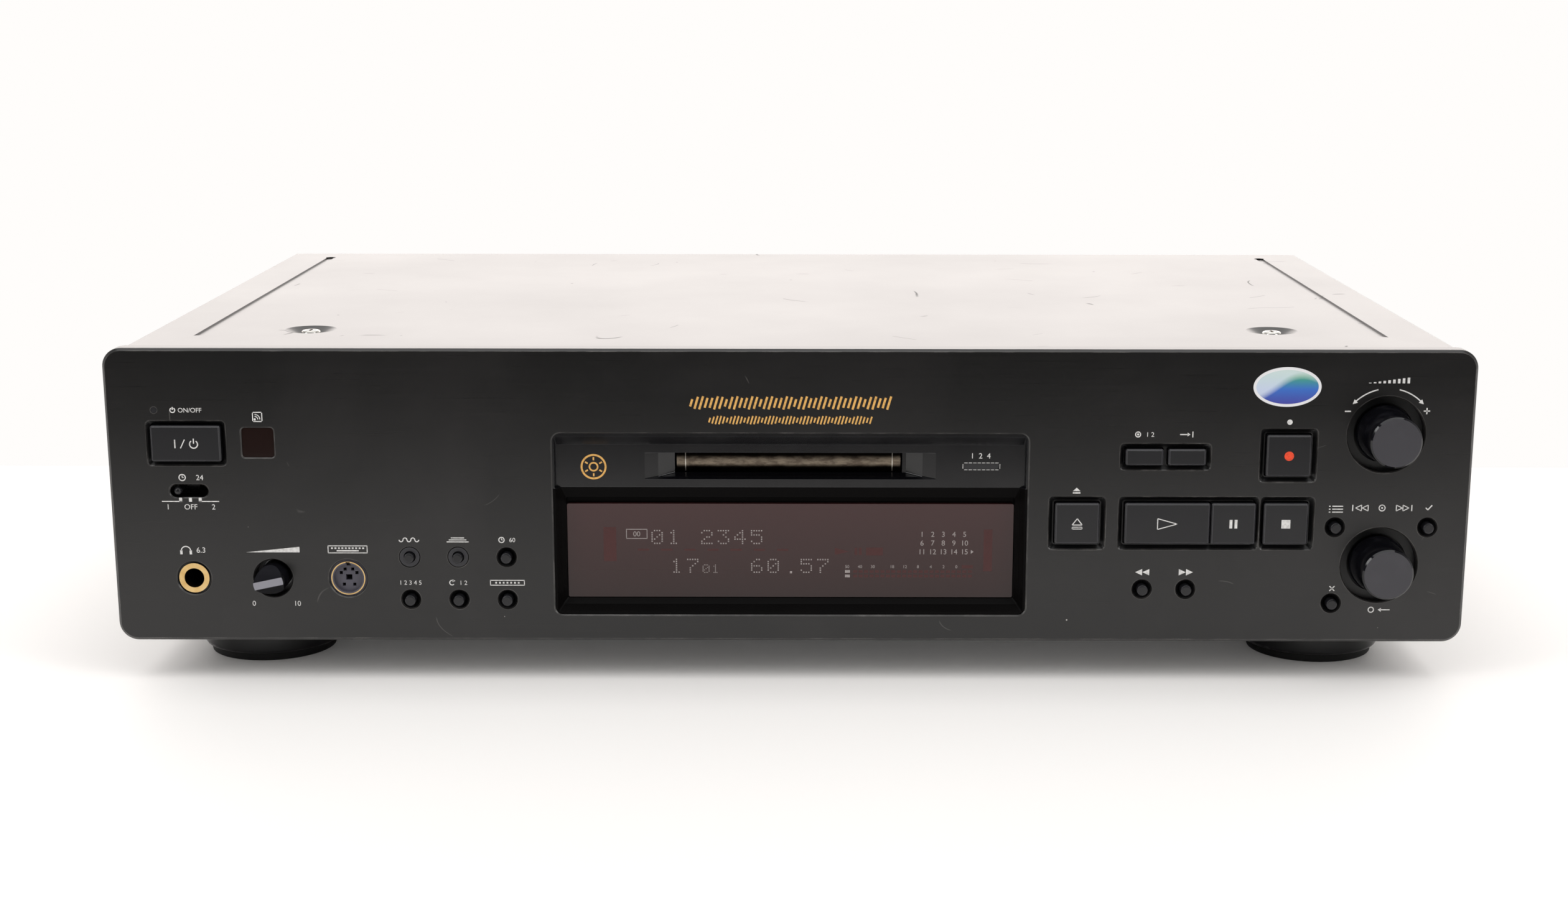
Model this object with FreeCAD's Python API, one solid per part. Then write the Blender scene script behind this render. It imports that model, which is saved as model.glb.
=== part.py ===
import FreeCAD, Part
import math
import os

Vector = FreeCAD.Vector
X_AXIS = Vector(1, 0, 0)
Y_AXIS = Vector(0, 1, 0)
Z_AXIS = Vector(0, 0, 1)

os.makedirs("parts", exist_ok=True)

# Every length is in millimetres. The pieces are modelled with y = 0 on the panel's front
# face, y growing towards the rear, z = 0 on the panel's lower edge and x = 0 on the middle
# of the panel. The export moves them to the deck's own origin on the floor.

# Clearances
seat = 0.05            # side play of a fixed piece in its seat
slide_gap = 0.3        # play round a piece that moves by hand
running_fit = 0.05     # radial play of a shaft in its bore
overcut = 1.0          # how far a cutter reaches past the face that it opens
hair = 0.01            # tolerance when edges are picked by their place
soft_corner = 0.5      # small radius of moulded corners

# Front panel
panel_width = 430.0
panel_height = 94.6
panel_thick = 6.0
panel_corner = 6.0
panel_chamfer = 0.8
opening_corner = 1.0
opening_chamfer = 0.3

# Housing
body_depth = 258.0     # from the panel's front face to the rear edge of the cover
body_inset = 4.5       # the panel stands this much wider than the cover on each side
cover_drop = 0.8       # the cover's top lies this much under the panel's top edge
cover_thick = 1.2
cover_gap = 0.2        # joint between the panel and the cover
cover_lift = 1.0       # the cover's sides end this much above the base
apron_inset = 16.0     # from the cover's side to the apron
apron_depth = 28.9     # from the panel's front face
apron_rise = 0.5
apron_corner = 4.0
groove_inset = 17.9    # from the cover's side to the groove's middle
groove_width = 3.0
groove_depth = 0.6
groove_rear_gap = 14.1 # from the groove's rear end to the cover's rear edge
groove_dot_radius = 2.0
cover_screw_inset = 51.6
cover_screw_y = 45.2
dimple_radius = 8.5
dimple_floor = 4.2
dimple_depth = 2.0
dimple_wall = 1.2
sheet_thick = 1.2
tray_wall = 25.0
tray_lip = 7.0
beam_half = 7.0
beam_rib = 5.0
board_thick = 1.6

# Screws
screw_radius = 1.5
screw_head_radius = 3.2
screw_head_height = 1.8
screw_length = 7.0
cross_width = 0.9
cross_span = 3.6
cross_depth = 0.8

# Feet
foot_height = 12.9
foot_inset = 35.5
foot_front_y = 40.5
foot_rear_inset = 43.0
foot_radius = 23.5
foot_taper = 1.0
foot_edge = 1.5
pad_radius = 20.5
pad_height = 2.6
pad_edge = 0.4
foot_pocket_radius = 4.0
foot_pocket_depth = 4.5

# Moulded carrier behind the panel
carrier_thick = 2.5
carrier_margin = 2.6
collar_sink = 0.4
collar_bevel = 1.1

# Push buttons
press_travel = 0.8
flange_thick = 1.2
flange_lip = 1.2
stem_radius = 1.0
stem_length = 3.0
switch_gap = 0.2
plunger_height = 0.5
plunger_radius = 1.75
switch_height = 1.5
switch_width = 6.0
cap_corner = 0.6
cap_edge = 0.4
cap_proud = 1.0

# Round keys
key_radius = 1.74
key_hole = 3.0
key_proud = 2.0
key_edge = 0.5
key_flange = 3.2
flush_key_radius = 1.62
flush_ring_radius = 3.18
key_field_gap = 19.8   # from the keyboard socket to the first column of keys
key_pitch_x = 15.45
key_lower_z = 13.7
key_pitch_z = 13.9
search_offset = 44.8   # from the stop button to the first search key
search_key_pitch = 13.9
search_key_z = 17.4
menu_key_spread = 14.65
menu_key_z = 37.8
clear_key_z = 12.86

# Square buttons: places, sizes and the margin of the opening round them
power_inset = 25.0     # from the panel's left edge
power_z = 64.4
power_width = 21.9
power_height = 11.4
power_margin = 1.3
deck_row_z = 39.0
deck_button = 14.0
deck_button_height = 13.2
deck_margin = 1.8
eject_pitch = 28.56    # from eject to play
play_width = 26.9
play_pitch = 20.9      # from play to pause
pause_pitch = 16.6     # from pause to stop
stop_pitch = 30.4      # from stop to the large knobs
record_z = 61.0
mode_offset = 45.4     # from the stop button to the record mode key
mode_z = 60.5
mode_width = 11.8
mode_height = 5.15
mode_pitch = 13.4
mode_margin = 1.5

# Timer switch
timer_z = 49.0
timer_slot_length = 12.06
timer_slot_height = 4.03
timer_travel = 7.2
timer_start = 3.5      # the lever's distance from the middle of its slot at rest
timer_ball = 1.26
timer_ball_proud = 0.4
timer_stem = 0.8
timer_plate_width = 9.0
timer_plate_height = 6.0
timer_switch_length = 18.0
timer_switch_height = 5.0

# Lamps and the remote receiver
standby_offset = 9.6   # left of the power button's middle
standby_z = 75.0
standby_radius = 1.0
standby_sink = 0.2
standby_flange = 0.8
remote_offset = 22.5   # right of the power button's middle
remote_z = 64.6
remote_width = 10.1
remote_height = 9.5
remote_sink = 0.4
receiver_size = 8.0

# Sockets on the left
socket_row_z = 20.6
phones_hole = 5.35
phones_ring = 4.81
phones_bore = 3.16
phones_depth = 26.0
phones_body = 13.0
phones_sink = 0.2
phones_shoulder = 1.0
jack_wall = 2.0
keyboard_pitch = 23.9  # from the volume knob to the keyboard socket
keyboard_hole = 6.07
keyboard_ring = 5.06
keyboard_depth = 11.0
keyboard_pin_circle = 2.9
keyboard_pin_size = 1.0
keyboard_pin_depth = 8.0
keyboard_body = 14.0
keyboard_sink = 0.8
keyboard_ring_sink = 0.1
keyboard_ring_wall = 0.4
keyboard_well = 1.6
keyboard_key_width = 2.0
keyboard_key_height = 1.8
keyboard_notch = 1.4
keyboard_notch_depth = 3.0
keyboard_notch_play = 0.2
socket_board_z = 9.2

# Circuit boards behind the buttons and the moulded posts that carry them
board_post_radius = 2.0
left_board_low = 42.0
left_board_high = 84.0
left_board_margin = 12.5
key_board_margin = 9.0
key_board_low = 5.0
key_board_high = 36.0
right_board_low = 5.0
right_board_high = 84.0
right_board_inset = 11.0
board_edge = 3.0       # from a board's edge to the middle of a post

# Volume knob of the headphones
level_pitch = 25.2     # from the headphone socket
level_hole = 6.13
level_radius = 4.75
level_proud = 1.5
level_blade_proud = 7.2
level_blade_width = 2.4
level_blade_angle = 192.0
level_shaft_radius = 1.5
level_shaft_reach = 4.0
level_bore_depth = 4.5
level_pot_depth = 9.0
level_blade_root = 4.75
level_corner = 0.3

# Large knobs
knob_inset = 27.7      # from the panel's right edge
record_knob_z = 67.7
select_knob_z = 25.4
knob_hole = 12.2
knob_flange = 9.0
knob_base = 8.75
knob_face = 8.05
knob_edge = 0.5
knob_flange_y = 1.6
knob_flange_thick = 1.0
knob_wall = 1.8
record_knob_proud = 13.4
select_knob_proud = 12.6
knob_ring_inner = 9.5
knob_ring_sink = 3.5
knob_shaft_radius = 3.0
knob_hub_radius = 4.6
shaft_tip_back = 4.0   # from the knob's face to the shaft's end
bushing_radius = 4.2
bushing_length = 3.5
encoder_width = 12.0
shaft_reach = 1.0      # how far a shaft enters its encoder
select_travel = 0.6

# Centre block with the disc slot and the display
centre_z = 38.2
centre_side = 139.95   # from the panel's side to the block
centre_height = 59.0
centre_corner = 2.5
centre_sink = 0.6
bezel_rear = 12.0
bezel_front = 3.2      # depth of the slot's own face behind the panel's
slot_face_low = 49.9
slot_face_high = 63.6
slot_face_margin = 0.85
bezel_rim = 0.4        # width of the moulding's front rim
flare_side = 9.9       # the flare stands this much wider than the mouth on each side
flare_facet = 4.2      # width of the flare's outer facet
flare_facet_depth = 1.3
flare_rise = 0.6       # how much the lower edge rises over that depth
flare_corner = 0.3
flare_low = 52.4
flare_high = 61.0
flare_depth = 4.4
mouth_x = -0.6
mouth_width = 72.4
mouth_low = 53.7
mouth_high = 61.0
display_low = 13.3
display_high = 44.0
window_play = 0.2
display_thick = 2.0
display_sink = 5.0
recess_low = 13.0
recess_high = 46.2
recess_wall = 3.65     # from the block's side to the display's recess
display_ledge = 3.0
tube_depth = 6.0
tube_margin = 4.0
tube_sill = 3.0
nipple_radius = 1.5
nipple_length = 4.0
lamp_inset = 14.75     # from the block's right side
lamp_sink = 0.3
lamp_z = 56.7
lamp_width = 11.6
lamp_height = 2.0
lamp_depth = 6.0

# Flap in the disc slot
door_thick = 0.8
door_bulge = 0.9
door_pin_radius = 0.6
door_back = 0.9        # behind the flare's floor
door_swing_room = 3.0
door_pin_gap = 0.4      # from the mouth's top to the pin
door_pin_reach = 1.5
door_pin_play = 0.5

# Disc drive
drive_half_width = 50.0
drive_front = 24.0
drive_depth = 112.0
drive_floor_z = 34.0
drive_wall_top = 70.0
drive_post_radius = 4.0
drive_post_inset = 2.0
bridge_margin = 5.0
bridge_thick = 2.0
bridge_rise = 4.0
floor_window = 26.0
floor_window_gap = 3.0
holder_half_width = 37.6
holder_wall = 1.0
holder_low = 53.8
holder_high = 61.8
holder_front = 25.0
holder_depth = 70.0
holder_drop = 4.0
holder_window = 52.0
holder_tongue = 8.0     # depth of the floor in front of the window
head_slot_gap = 6.0     # from the disc's centre to the slot above it
cam_travel = 12.0
cam_thick = 1.5
cam_height = 16.0
cam_length = 70.0
cam_gap = 1.2
cam_setback = 2.0       # behind the holder's front edge
cam_margin = 2.0
cam_pin_inset = 8.0
rail_spare = 6.0
cam_pin_radius = 1.0
cam_pin_play = 0.15
cam_rail_gap = 0.3
cam_shelf = 3.0
disc_centre_y = 59.0
turntable_radius = 10.0
turntable_thick = 2.0
turntable_z = 45.0
spindle_radius = 1.0
hub_radius = 3.6
hub_taper = 1.0
spindle_reach = 4.0
spindle_bore = 5.0
hub_height = 1.6
motor_radius = 12.5
motor_height = 7.0
rod_radius = 1.5
rod_spread = 17.0
rod_z = 42.0
rod_front = 76.0
rod_spare = 17.0        # rod left free at the ends of the sled's run
rod_proud = 1.0
pickup_start = 86.0
pickup_travel = 21.0
pickup_width = 28.0
pickup_length = 14.0
pickup_height = 8.0
lens_radius = 3.0
lens_height = 1.2
ear_thick = 6.0
ear_reach = 3.5
lens_root = 1.0
screw_x = 23.0
lead_radius = 1.5
nut_wall = 2.2
lead_front = 3.0
lead_rear = 4.0
wheel_radius = 4.5
wheel_thick = 2.7
arm_post_y = 106.0
arm_post_thick = 2.0
arm_width = 6.0
arm_thick = 0.8
arm_z = 66.0
arm_pin_radius = 0.9
arm_tail_thick = 2.0
arm_ear_thick = 1.0
arm_ear_low = 2.5
arm_ear_high = 1.6
arm_post_gap = 1.5
arm_hinge_shift = 0.5
knuckle_wall = 0.5
head_size = 5.0
head_height = 1.2

# Power supply, boards and rear sockets
core_width = 62.0
core_depth = 52.0
core_height = 46.0
core_inset = 55.5
core_gap = 40.8         # behind the core
core_leg = 10.0
coil_gap = 0.3
coil_swell = 7.0
main_board_inset = 15.5 # from the cover's right side
main_board_left = 115.5  # from the cover's left side
main_board_gap = 11.8   # to the rear panel
main_board_depth = 96.0
main_board_z = 9.0
standoff_radius = 3.5
standoff_inset = 6.0
capacitor_radius = 6.5
capacitor_height = 24.0
capacitor_pitch = 22.0
capacitor_count = 6
capacitor_side = 4.0
capacitor_front = 10.0
chip_size = 18.0
chip_height = 2.6
chip_count = 3
phono_inset = 120.5     # from the cover's right side
phono_pitch = 16.0
phono_z = 56.0
phono_row_pitch = 20.0
phono_radius = 4.15
phono_bore = 1.7
phono_length = 9.4
phono_plate = 4.0
phono_margin = 8.5
phono_body_depth = 12.0
phono_corner = 1.5
phono_neck = 0.5
phono_hole_play = 0.5
optical_offset = 70.0   # left of the line sockets
optical_count = 3
optical_pitch = 18.0
optical_z = 56.0
optical_size = 13.0
optical_hole = 8.0
optical_body_depth = 14.0
optical_lip = 1.5
optical_corner = 0.8
optical_port = 5.0
inlet_inset = 45.5      # from the cover's left side
inlet_z = 30.0
inlet_width = 26.0
inlet_height = 15.0
inlet_flange = 3.0
inlet_flange_thick = 2.0
inlet_corner = 2.0
inlet_depth = 16.0
inlet_slot_width = 18.0
inlet_slot_height = 9.6
inlet_slot_depth = 12.0
inlet_pin_radius = 1.2
inlet_pin_spread = 4.0

# Values worked out from the ones above: widths and places across the deck
body_width = panel_width - 2 * body_inset
power_x = power_inset - panel_width / 2
standby_x = power_x - standby_offset
remote_x = power_x + remote_offset
timer_x = power_x
phones_x = power_x
level_x = phones_x + level_pitch
keyboard_x = level_x + keyboard_pitch
key_left_x = keyboard_x + key_field_gap
knob_x = panel_width / 2 - knob_inset
stop_x = knob_x - stop_pitch
pause_x = stop_x - pause_pitch
play_x = pause_x - play_pitch
eject_x = play_x - eject_pitch
mode_x = stop_x - mode_offset
search_key_x = stop_x - search_offset
left_board_right = remote_x + left_board_margin
right_board_right = panel_width / 2 - right_board_inset
centre_width = panel_width - 2 * centre_side
recess_width = centre_width - 2 * recess_wall
display_width = recess_width - 2 * window_play
flare_width = mouth_width + 2 * flare_side
lamp_x = centre_width / 2 - lamp_inset
apron_width = body_width - 2 * apron_inset
groove_x = body_width / 2 - groove_inset
groove_rear = body_depth - groove_rear_gap
cover_screw_x = body_width / 2 - cover_screw_inset
foot_x = body_width / 2 - foot_inset
foot_rear_y = body_depth - foot_rear_inset
core_x = core_inset - body_width / 2
main_board_width = body_width - main_board_left - main_board_inset
main_board_x = body_width / 2 - main_board_inset - main_board_width / 2
phono_x = body_width / 2 - phono_inset
optical_x = phono_x - optical_offset
inlet_x = inlet_inset - body_width / 2

# Depths, heights and what follows from them
rod_length = pickup_travel + pickup_length + rod_spare
carrier_y = panel_thick + carrier_thick
flange_y = carrier_y + slide_gap
stem_y = flange_y + flange_thick
plunger_y = stem_y + stem_length + press_travel + switch_gap
board_y = plunger_y + plunger_height + switch_height
board_rear = board_y + board_thick
cover_top = panel_height - cover_drop
cover_under = cover_top - cover_thick
cover_inside = body_width / 2 - cover_thick
tray_half = cover_inside - cover_gap
rear_y = body_depth - sheet_thick
beam_top = cover_top - dimple_depth - dimple_wall
core_y = rear_y - core_gap - core_depth / 2
main_board_y = rear_y - main_board_gap - main_board_depth / 2
key_xs = [key_left_x + key_pitch_x * column for column in range(3)]
key_upper_z = key_lower_z + key_pitch_z
phono_reach = body_depth + phono_plate + phono_length
centre_y = (phono_reach - record_knob_proud) / 2
timer_rest_x = timer_x - timer_start
flare_floor = bezel_front + flare_depth
door_y = flare_floor + door_back
encoder_y = carrier_y + bushing_length
cam_low = holder_low - holder_drop - cam_margin


def block(x0, x1, y0, y1, z0, z1):
    """Box between two corners."""
    return Part.makeBox(x1 - x0, y1 - y0, z1 - z0, Vector(x0, y0, z0))


def rod(x, z, radius, y0, y1):
    """Cylinder that runs from front to rear."""
    return Part.makeCylinder(radius, y1 - y0, Vector(x, y0, z), Y_AXIS)


def post(x, y, radius, z0, z1):
    """Upright cylinder."""
    return Part.makeCylinder(radius, z1 - z0, Vector(x, y, z0), Z_AXIS)


def bar(y, z, radius, x0, x1):
    """Cylinder that runs from left to right."""
    return Part.makeCylinder(radius, x1 - x0, Vector(x0, y, z), X_AXIS)


def cone(x, z, radius0, radius1, y0, y1):
    """Cone that runs from front to rear."""
    return Part.makeCone(radius0, radius1, y1 - y0, Vector(x, y0, z), Y_AXIS)


def join(shapes):
    """One solid out of several that touch."""
    shape = shapes[0]
    for other in shapes[1:]:
        shape = shape.fuse(other)
    return shape.removeSplitter()


def outline(x, z, width, height, corner, y):
    """Closed rounded rectangle, seen from the front, at depth y."""
    corner = min(corner, width / 2 - hair, height / 2 - hair)
    left, right = x - width / 2, x + width / 2
    low, high = z - height / 2, z + height / 2
    turn = corner * (1 - math.sqrt(0.5))
    edges = [
        Part.LineSegment(Vector(left + corner, y, low), Vector(right - corner, y, low)),
        Part.Arc(Vector(right - corner, y, low), Vector(right - turn, y, low + turn),
                 Vector(right, y, low + corner)),
        Part.LineSegment(Vector(right, y, low + corner), Vector(right, y, high - corner)),
        Part.Arc(Vector(right, y, high - corner), Vector(right - turn, y, high - turn),
                 Vector(right - corner, y, high)),
        Part.LineSegment(Vector(right - corner, y, high), Vector(left + corner, y, high)),
        Part.Arc(Vector(left + corner, y, high), Vector(left + turn, y, high - turn),
                 Vector(left, y, high - corner)),
        Part.LineSegment(Vector(left, y, high - corner), Vector(left, y, low + corner)),
        Part.Arc(Vector(left, y, low + corner), Vector(left + turn, y, low + turn),
                 Vector(left + corner, y, low)),
    ]
    return Part.Wire([edge.toShape() for edge in edges])


def slab(x, z, width, height, corner, y0, y1):
    """Plate with rounded corners between two depths."""
    face = Part.Face(outline(x, z, width, height, corner, y0))
    return face.extrude(Vector(0, y1 - y0, 0))


def funnel(x, z, width0, height0, width1, height1, corner, y0, y1):
    """Plate whose outline changes evenly from the front to the rear."""
    front = outline(x, z, width0, height0, corner, y0)
    rear = outline(x, z, width1, height1, corner, y1)
    return Part.makeLoft([front, rear], True, True)


def sloped(half0, low0, high0, y0, half1, low1, high1, y1, corner):
    """Like a funnel round x = 0, with its own half width, low and high edge at each end."""
    front = outline(0, (low0 + high0) / 2, 2 * half0, high0 - low0, corner, y0)
    rear = outline(0, (low1 + high1) / 2, 2 * half1, high1 - low1, corner, y1)
    return Part.makeLoft([front, rear], True, True)


def front_edges(shape, y):
    """Edges that lie at one depth."""
    found = []
    for edge in shape.Edges:
        box = edge.BoundBox
        if abs(box.YMin - y) < 1e-4 and abs(box.YMax - y) < 1e-4:
            found.append(edge)
    return found


def square_cut(x, z, width, height, corner=opening_corner):
    """Cutter for a rectangular opening with a fine chamfer at the panel's face."""
    hole = slab(x, z, width, height, corner, -overcut, panel_thick + overcut)
    grow = 2 * opening_chamfer
    rim = funnel(x, z, width + 2 * grow, height + 2 * grow, width, height,
                 corner + opening_chamfer, -opening_chamfer, opening_chamfer)
    return hole.fuse(rim)


def round_cut(x, z, radius):
    """Cutter for a round opening with a fine chamfer at the panel's face."""
    hole = rod(x, z, radius, -overcut, panel_thick + overcut)
    rim = cone(x, z, radius + 2 * opening_chamfer, radius, -opening_chamfer, opening_chamfer)
    return hole.fuse(rim)


def square_buttons():
    """Name, centre, size and opening margin of each square button."""
    return {
        "power_button": (power_x, power_z, power_width, power_height, power_margin),
        "eject_button": (eject_x, deck_row_z, deck_button, deck_button_height, deck_margin),
        "play_button": (play_x, deck_row_z, play_width, deck_button_height, deck_margin),
        "pause_button": (pause_x, deck_row_z, deck_button, deck_button_height, deck_margin),
        "stop_button": (stop_x, deck_row_z, deck_button, deck_button_height, deck_margin),
        "record_button": (stop_x, record_z, deck_button, deck_button_height, deck_margin),
        "record_mode_button": (mode_x, mode_z, mode_width, mode_height, mode_margin),
        "input_button": (mode_x + mode_pitch, mode_z, mode_width, mode_height, mode_margin),
    }


def round_keys():
    """Name and centre of each small round key that stands in a bevelled hole."""
    return {
        "time_button": (key_xs[2], key_upper_z),
        "play_mode_button": (key_xs[0], key_lower_z),
        "repeat_button": (key_xs[1], key_lower_z),
        "display_button": (key_xs[2], key_lower_z),
        "rewind_button": (search_key_x, search_key_z),
        "fast_forward_button": (search_key_x + search_key_pitch, search_key_z),
        "menu_button": (knob_x - menu_key_spread, menu_key_z),
        "yes_button": (knob_x + menu_key_spread, menu_key_z),
        "clear_button": (knob_x - menu_key_spread, clear_key_z),
    }


def flush_keys():
    """Name and centre of each small round key that stands in a flush ring."""
    return {
        "filter_button": (key_xs[0], key_upper_z),
        "edit_button": (key_xs[1], key_upper_z),
    }


def button_openings():
    """Centre and size of the openings that the square buttons share."""
    buttons = square_buttons()
    groups = [
        ["power_button"], ["eject_button"], ["play_button", "pause_button"],
        ["stop_button"], ["record_button"], ["record_mode_button", "input_button"],
    ]
    openings = []
    for group in groups:
        rows = [buttons[name] for name in group]
        margin = rows[0][4]
        left = min(row[0] - row[2] / 2 for row in rows) - margin
        right = max(row[0] + row[2] / 2 for row in rows) + margin
        height = rows[0][3] + 2 * margin
        openings.append(((left + right) / 2, rows[0][1], right - left, height))
    return openings


def front_panel():
    """Aluminium plate with every opening for buttons, knobs, sockets and the centre block."""
    plate = slab(0, panel_height / 2, panel_width, panel_height, panel_corner, 0, panel_thick)
    plate = plate.makeChamfer(panel_chamfer, front_edges(plate, 0))
    cutters = [square_cut(*opening) for opening in trimmed_openings()]
    cutters += [round_cut(x, z, key_hole) for x, z in round_keys().values()]
    cutters += [round_cut(x, z, flush_ring_radius) for x, z in flush_keys().values()]
    cutters.append(square_cut(0, centre_z, centre_width, centre_height, centre_corner))
    cutters.append(square_cut(remote_x, remote_z, remote_width, remote_height))
    cutters.append(square_cut(timer_x, timer_z, timer_slot_length, timer_slot_height,
                              timer_slot_height / 2))
    cutters.append(round_cut(phones_x, socket_row_z, phones_hole))
    cutters.append(round_cut(level_x, socket_row_z, level_hole))
    cutters.append(round_cut(keyboard_x, socket_row_z, keyboard_hole))
    cutters.append(round_cut(knob_x, record_knob_z, knob_hole))
    cutters.append(round_cut(knob_x, select_knob_z, knob_hole))
    cutters.append(rod(standby_x, standby_z, standby_radius + seat, -overcut,
                       panel_thick + overcut))
    return plate.cut(cutters)


def trimmed_openings():
    """Openings of the square buttons; neighbours keep a bar of the panel between them."""
    openings = button_openings()
    shared = [row for row in openings if row[1] == deck_row_z and row[0] > eject_x + deck_button]
    left, right = sorted(shared)
    gap = (stop_x - deck_button / 2) - (pause_x + deck_button / 2)
    bar_width = gap / 3
    middle = stop_x - deck_button / 2 - gap / 2
    kept = [row for row in openings if row not in shared]
    left_edge = left[0] - left[2] / 2
    right_edge = right[0] + right[2] / 2
    left_end = middle - bar_width / 2
    right_start = middle + bar_width / 2
    kept.append(((left_edge + left_end) / 2, left[1], left_end - left_edge, left[3]))
    kept.append(((right_start + right_edge) / 2, right[1], right_edge - right_start, right[3]))
    return kept


def carrier():
    """Moulded frame behind the panel, with a bevelled collar round each button."""
    height = panel_height - 2 * carrier_margin
    width = 2 * tray_half - 2 * carrier_margin
    plate = slab(0, panel_height / 2, width, height, panel_corner, panel_thick, carrier_y)
    added = []
    bevels = []
    for x, z, wide, high in trimmed_openings():
        added.append(slab(x, z, wide - 2 * seat, high - 2 * seat, opening_corner,
                          collar_sink, panel_thick))
        bevels.append(funnel(x, z, wide, high, wide - 2 * collar_bevel, high - 2 * collar_bevel,
                             opening_corner, collar_sink, collar_sink + collar_bevel))
    for x, z in round_keys().values():
        added.append(rod(x, z, key_hole - seat, collar_sink, panel_thick))
        bevels.append(cone(x, z, key_hole, key_radius + slide_gap,
                           collar_sink, collar_sink + collar_bevel))
    for z in (record_knob_z, select_knob_z):
        added.append(rod(knob_x, z, knob_hole - seat, knob_ring_sink, panel_thick))
    for x, z in board_posts():
        added.append(rod(x, z, board_post_radius, panel_thick, board_y))
    body = join([plate] + added)
    holes = list(bevels)
    for x, z, wide, high, _ in square_buttons().values():
        holes.append(slab(x, z, wide + 2 * slide_gap, high + 2 * slide_gap,
                          cap_corner, 0, carrier_y + overcut))
    for x, z in round_keys().values():
        holes.append(rod(x, z, key_radius + slide_gap, 0, carrier_y + overcut))
    for x, z in flush_keys().values():
        holes.append(rod(x, z, flush_ring_radius, 0, carrier_y + overcut))
    for z in (record_knob_z, select_knob_z):
        holes.append(rod(knob_x, z, knob_ring_inner, 0, panel_thick))
        holes.append(rod(knob_x, z, bushing_radius + seat, 0, carrier_y + overcut))
    holes.append(block(-centre_width / 2, centre_width / 2, 0, carrier_y + 1,
                       centre_z - centre_height / 2, centre_z + centre_height / 2))
    holes.append(slab(remote_x, remote_z, remote_width, remote_height, opening_corner, 0,
                      carrier_y + overcut))
    holes.append(rod(standby_x, standby_z, standby_radius + seat, 0, carrier_y + overcut))
    holes.append(rod(phones_x, socket_row_z, phones_hole, 0, carrier_y + overcut))
    holes.append(rod(level_x, socket_row_z, level_radius + slide_gap, 0, carrier_y + overcut))
    holes.append(rod(keyboard_x, socket_row_z, keyboard_hole, 0, carrier_y + overcut))
    holes.append(timer_path(timer_stem + slide_gap, panel_thick, carrier_y + overcut))
    return body.cut(holes)


def timer_path(radius, y0, y1):
    """Space that the timer's lever sweeps along its slot."""
    middle = timer_rest_x + timer_travel / 2
    return slab(middle, timer_z, timer_travel + 2 * radius, 2 * radius, radius, y0, y1)


def square_button(x, z, width, height):
    """Button cap with a retaining lip above and below and a stem for its switch."""
    cap = slab(x, z, width, height, cap_corner, -cap_proud, flange_y + flange_thick)
    cap = cap.makeChamfer(cap_edge, front_edges(cap, -cap_proud))
    lip = block(x - width / 2 + cap_corner, x + width / 2 - cap_corner, flange_y,
                flange_y + flange_thick, z - height / 2 - flange_lip, z + height / 2 + flange_lip)
    stem = rod(x, z, stem_radius, stem_y, stem_y + stem_length)
    return join([cap, lip, stem])


def round_key(x, z, radius):
    """Round key with a domed edge, a retaining flange and a stem for its switch."""
    pin = rod(x, z, radius, -key_proud, flange_y)
    pin = pin.makeFillet(key_edge, front_edges(pin, -key_proud))
    flange = rod(x, z, key_flange, flange_y, stem_y)
    stem = rod(x, z, stem_radius, stem_y, stem_y + stem_length)
    return join([pin, flange, stem])


def key_rings():
    """Two flush rings round the keys in the upper left of the key field."""
    rings = []
    for x, z in flush_keys().values():
        ring = rod(x, z, flush_ring_radius - seat, seat, carrier_y)
        rings.append(ring.cut(rod(x, z, flush_key_radius + slide_gap, -overcut, carrier_y + overcut)))
    return Part.makeCompound(rings)


def timer_lever():
    """Lever with a ball tip and a slide plate behind the carrier."""
    ball = Part.makeSphere(timer_ball, Vector(timer_rest_x, timer_ball_proud, timer_z))
    stem = rod(timer_rest_x, timer_z, timer_stem, timer_ball_proud, stem_y + stem_length)
    plate = block(timer_rest_x - timer_plate_width / 2, timer_rest_x + timer_plate_width / 2,
                  flange_y, stem_y, timer_z - timer_plate_height / 2,
                  timer_z + timer_plate_height / 2)
    return join([ball, stem, plate])


def level_knob():
    """Small headphone volume knob with a tapered finger blade across its face."""
    disc = rod(level_x, socket_row_z, level_radius, -level_proud, panel_thick)
    blade = funnel(level_x, socket_row_z, 2 * level_radius, level_blade_width,
                   2 * level_radius, 2 * level_blade_root, level_corner,
                   -level_blade_proud, -level_proud)
    blade = blade.common(rod(level_x, socket_row_z, level_radius, -level_blade_proud - overcut,
                             panel_thick))
    shaft = rod(level_x, socket_row_z, level_shaft_radius, panel_thick,
                carrier_y + level_shaft_reach)
    knob = join([disc, blade, shaft])
    knob.rotate(Vector(level_x, 0, socket_row_z), Y_AXIS, 180 - level_blade_angle)
    return knob


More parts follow.
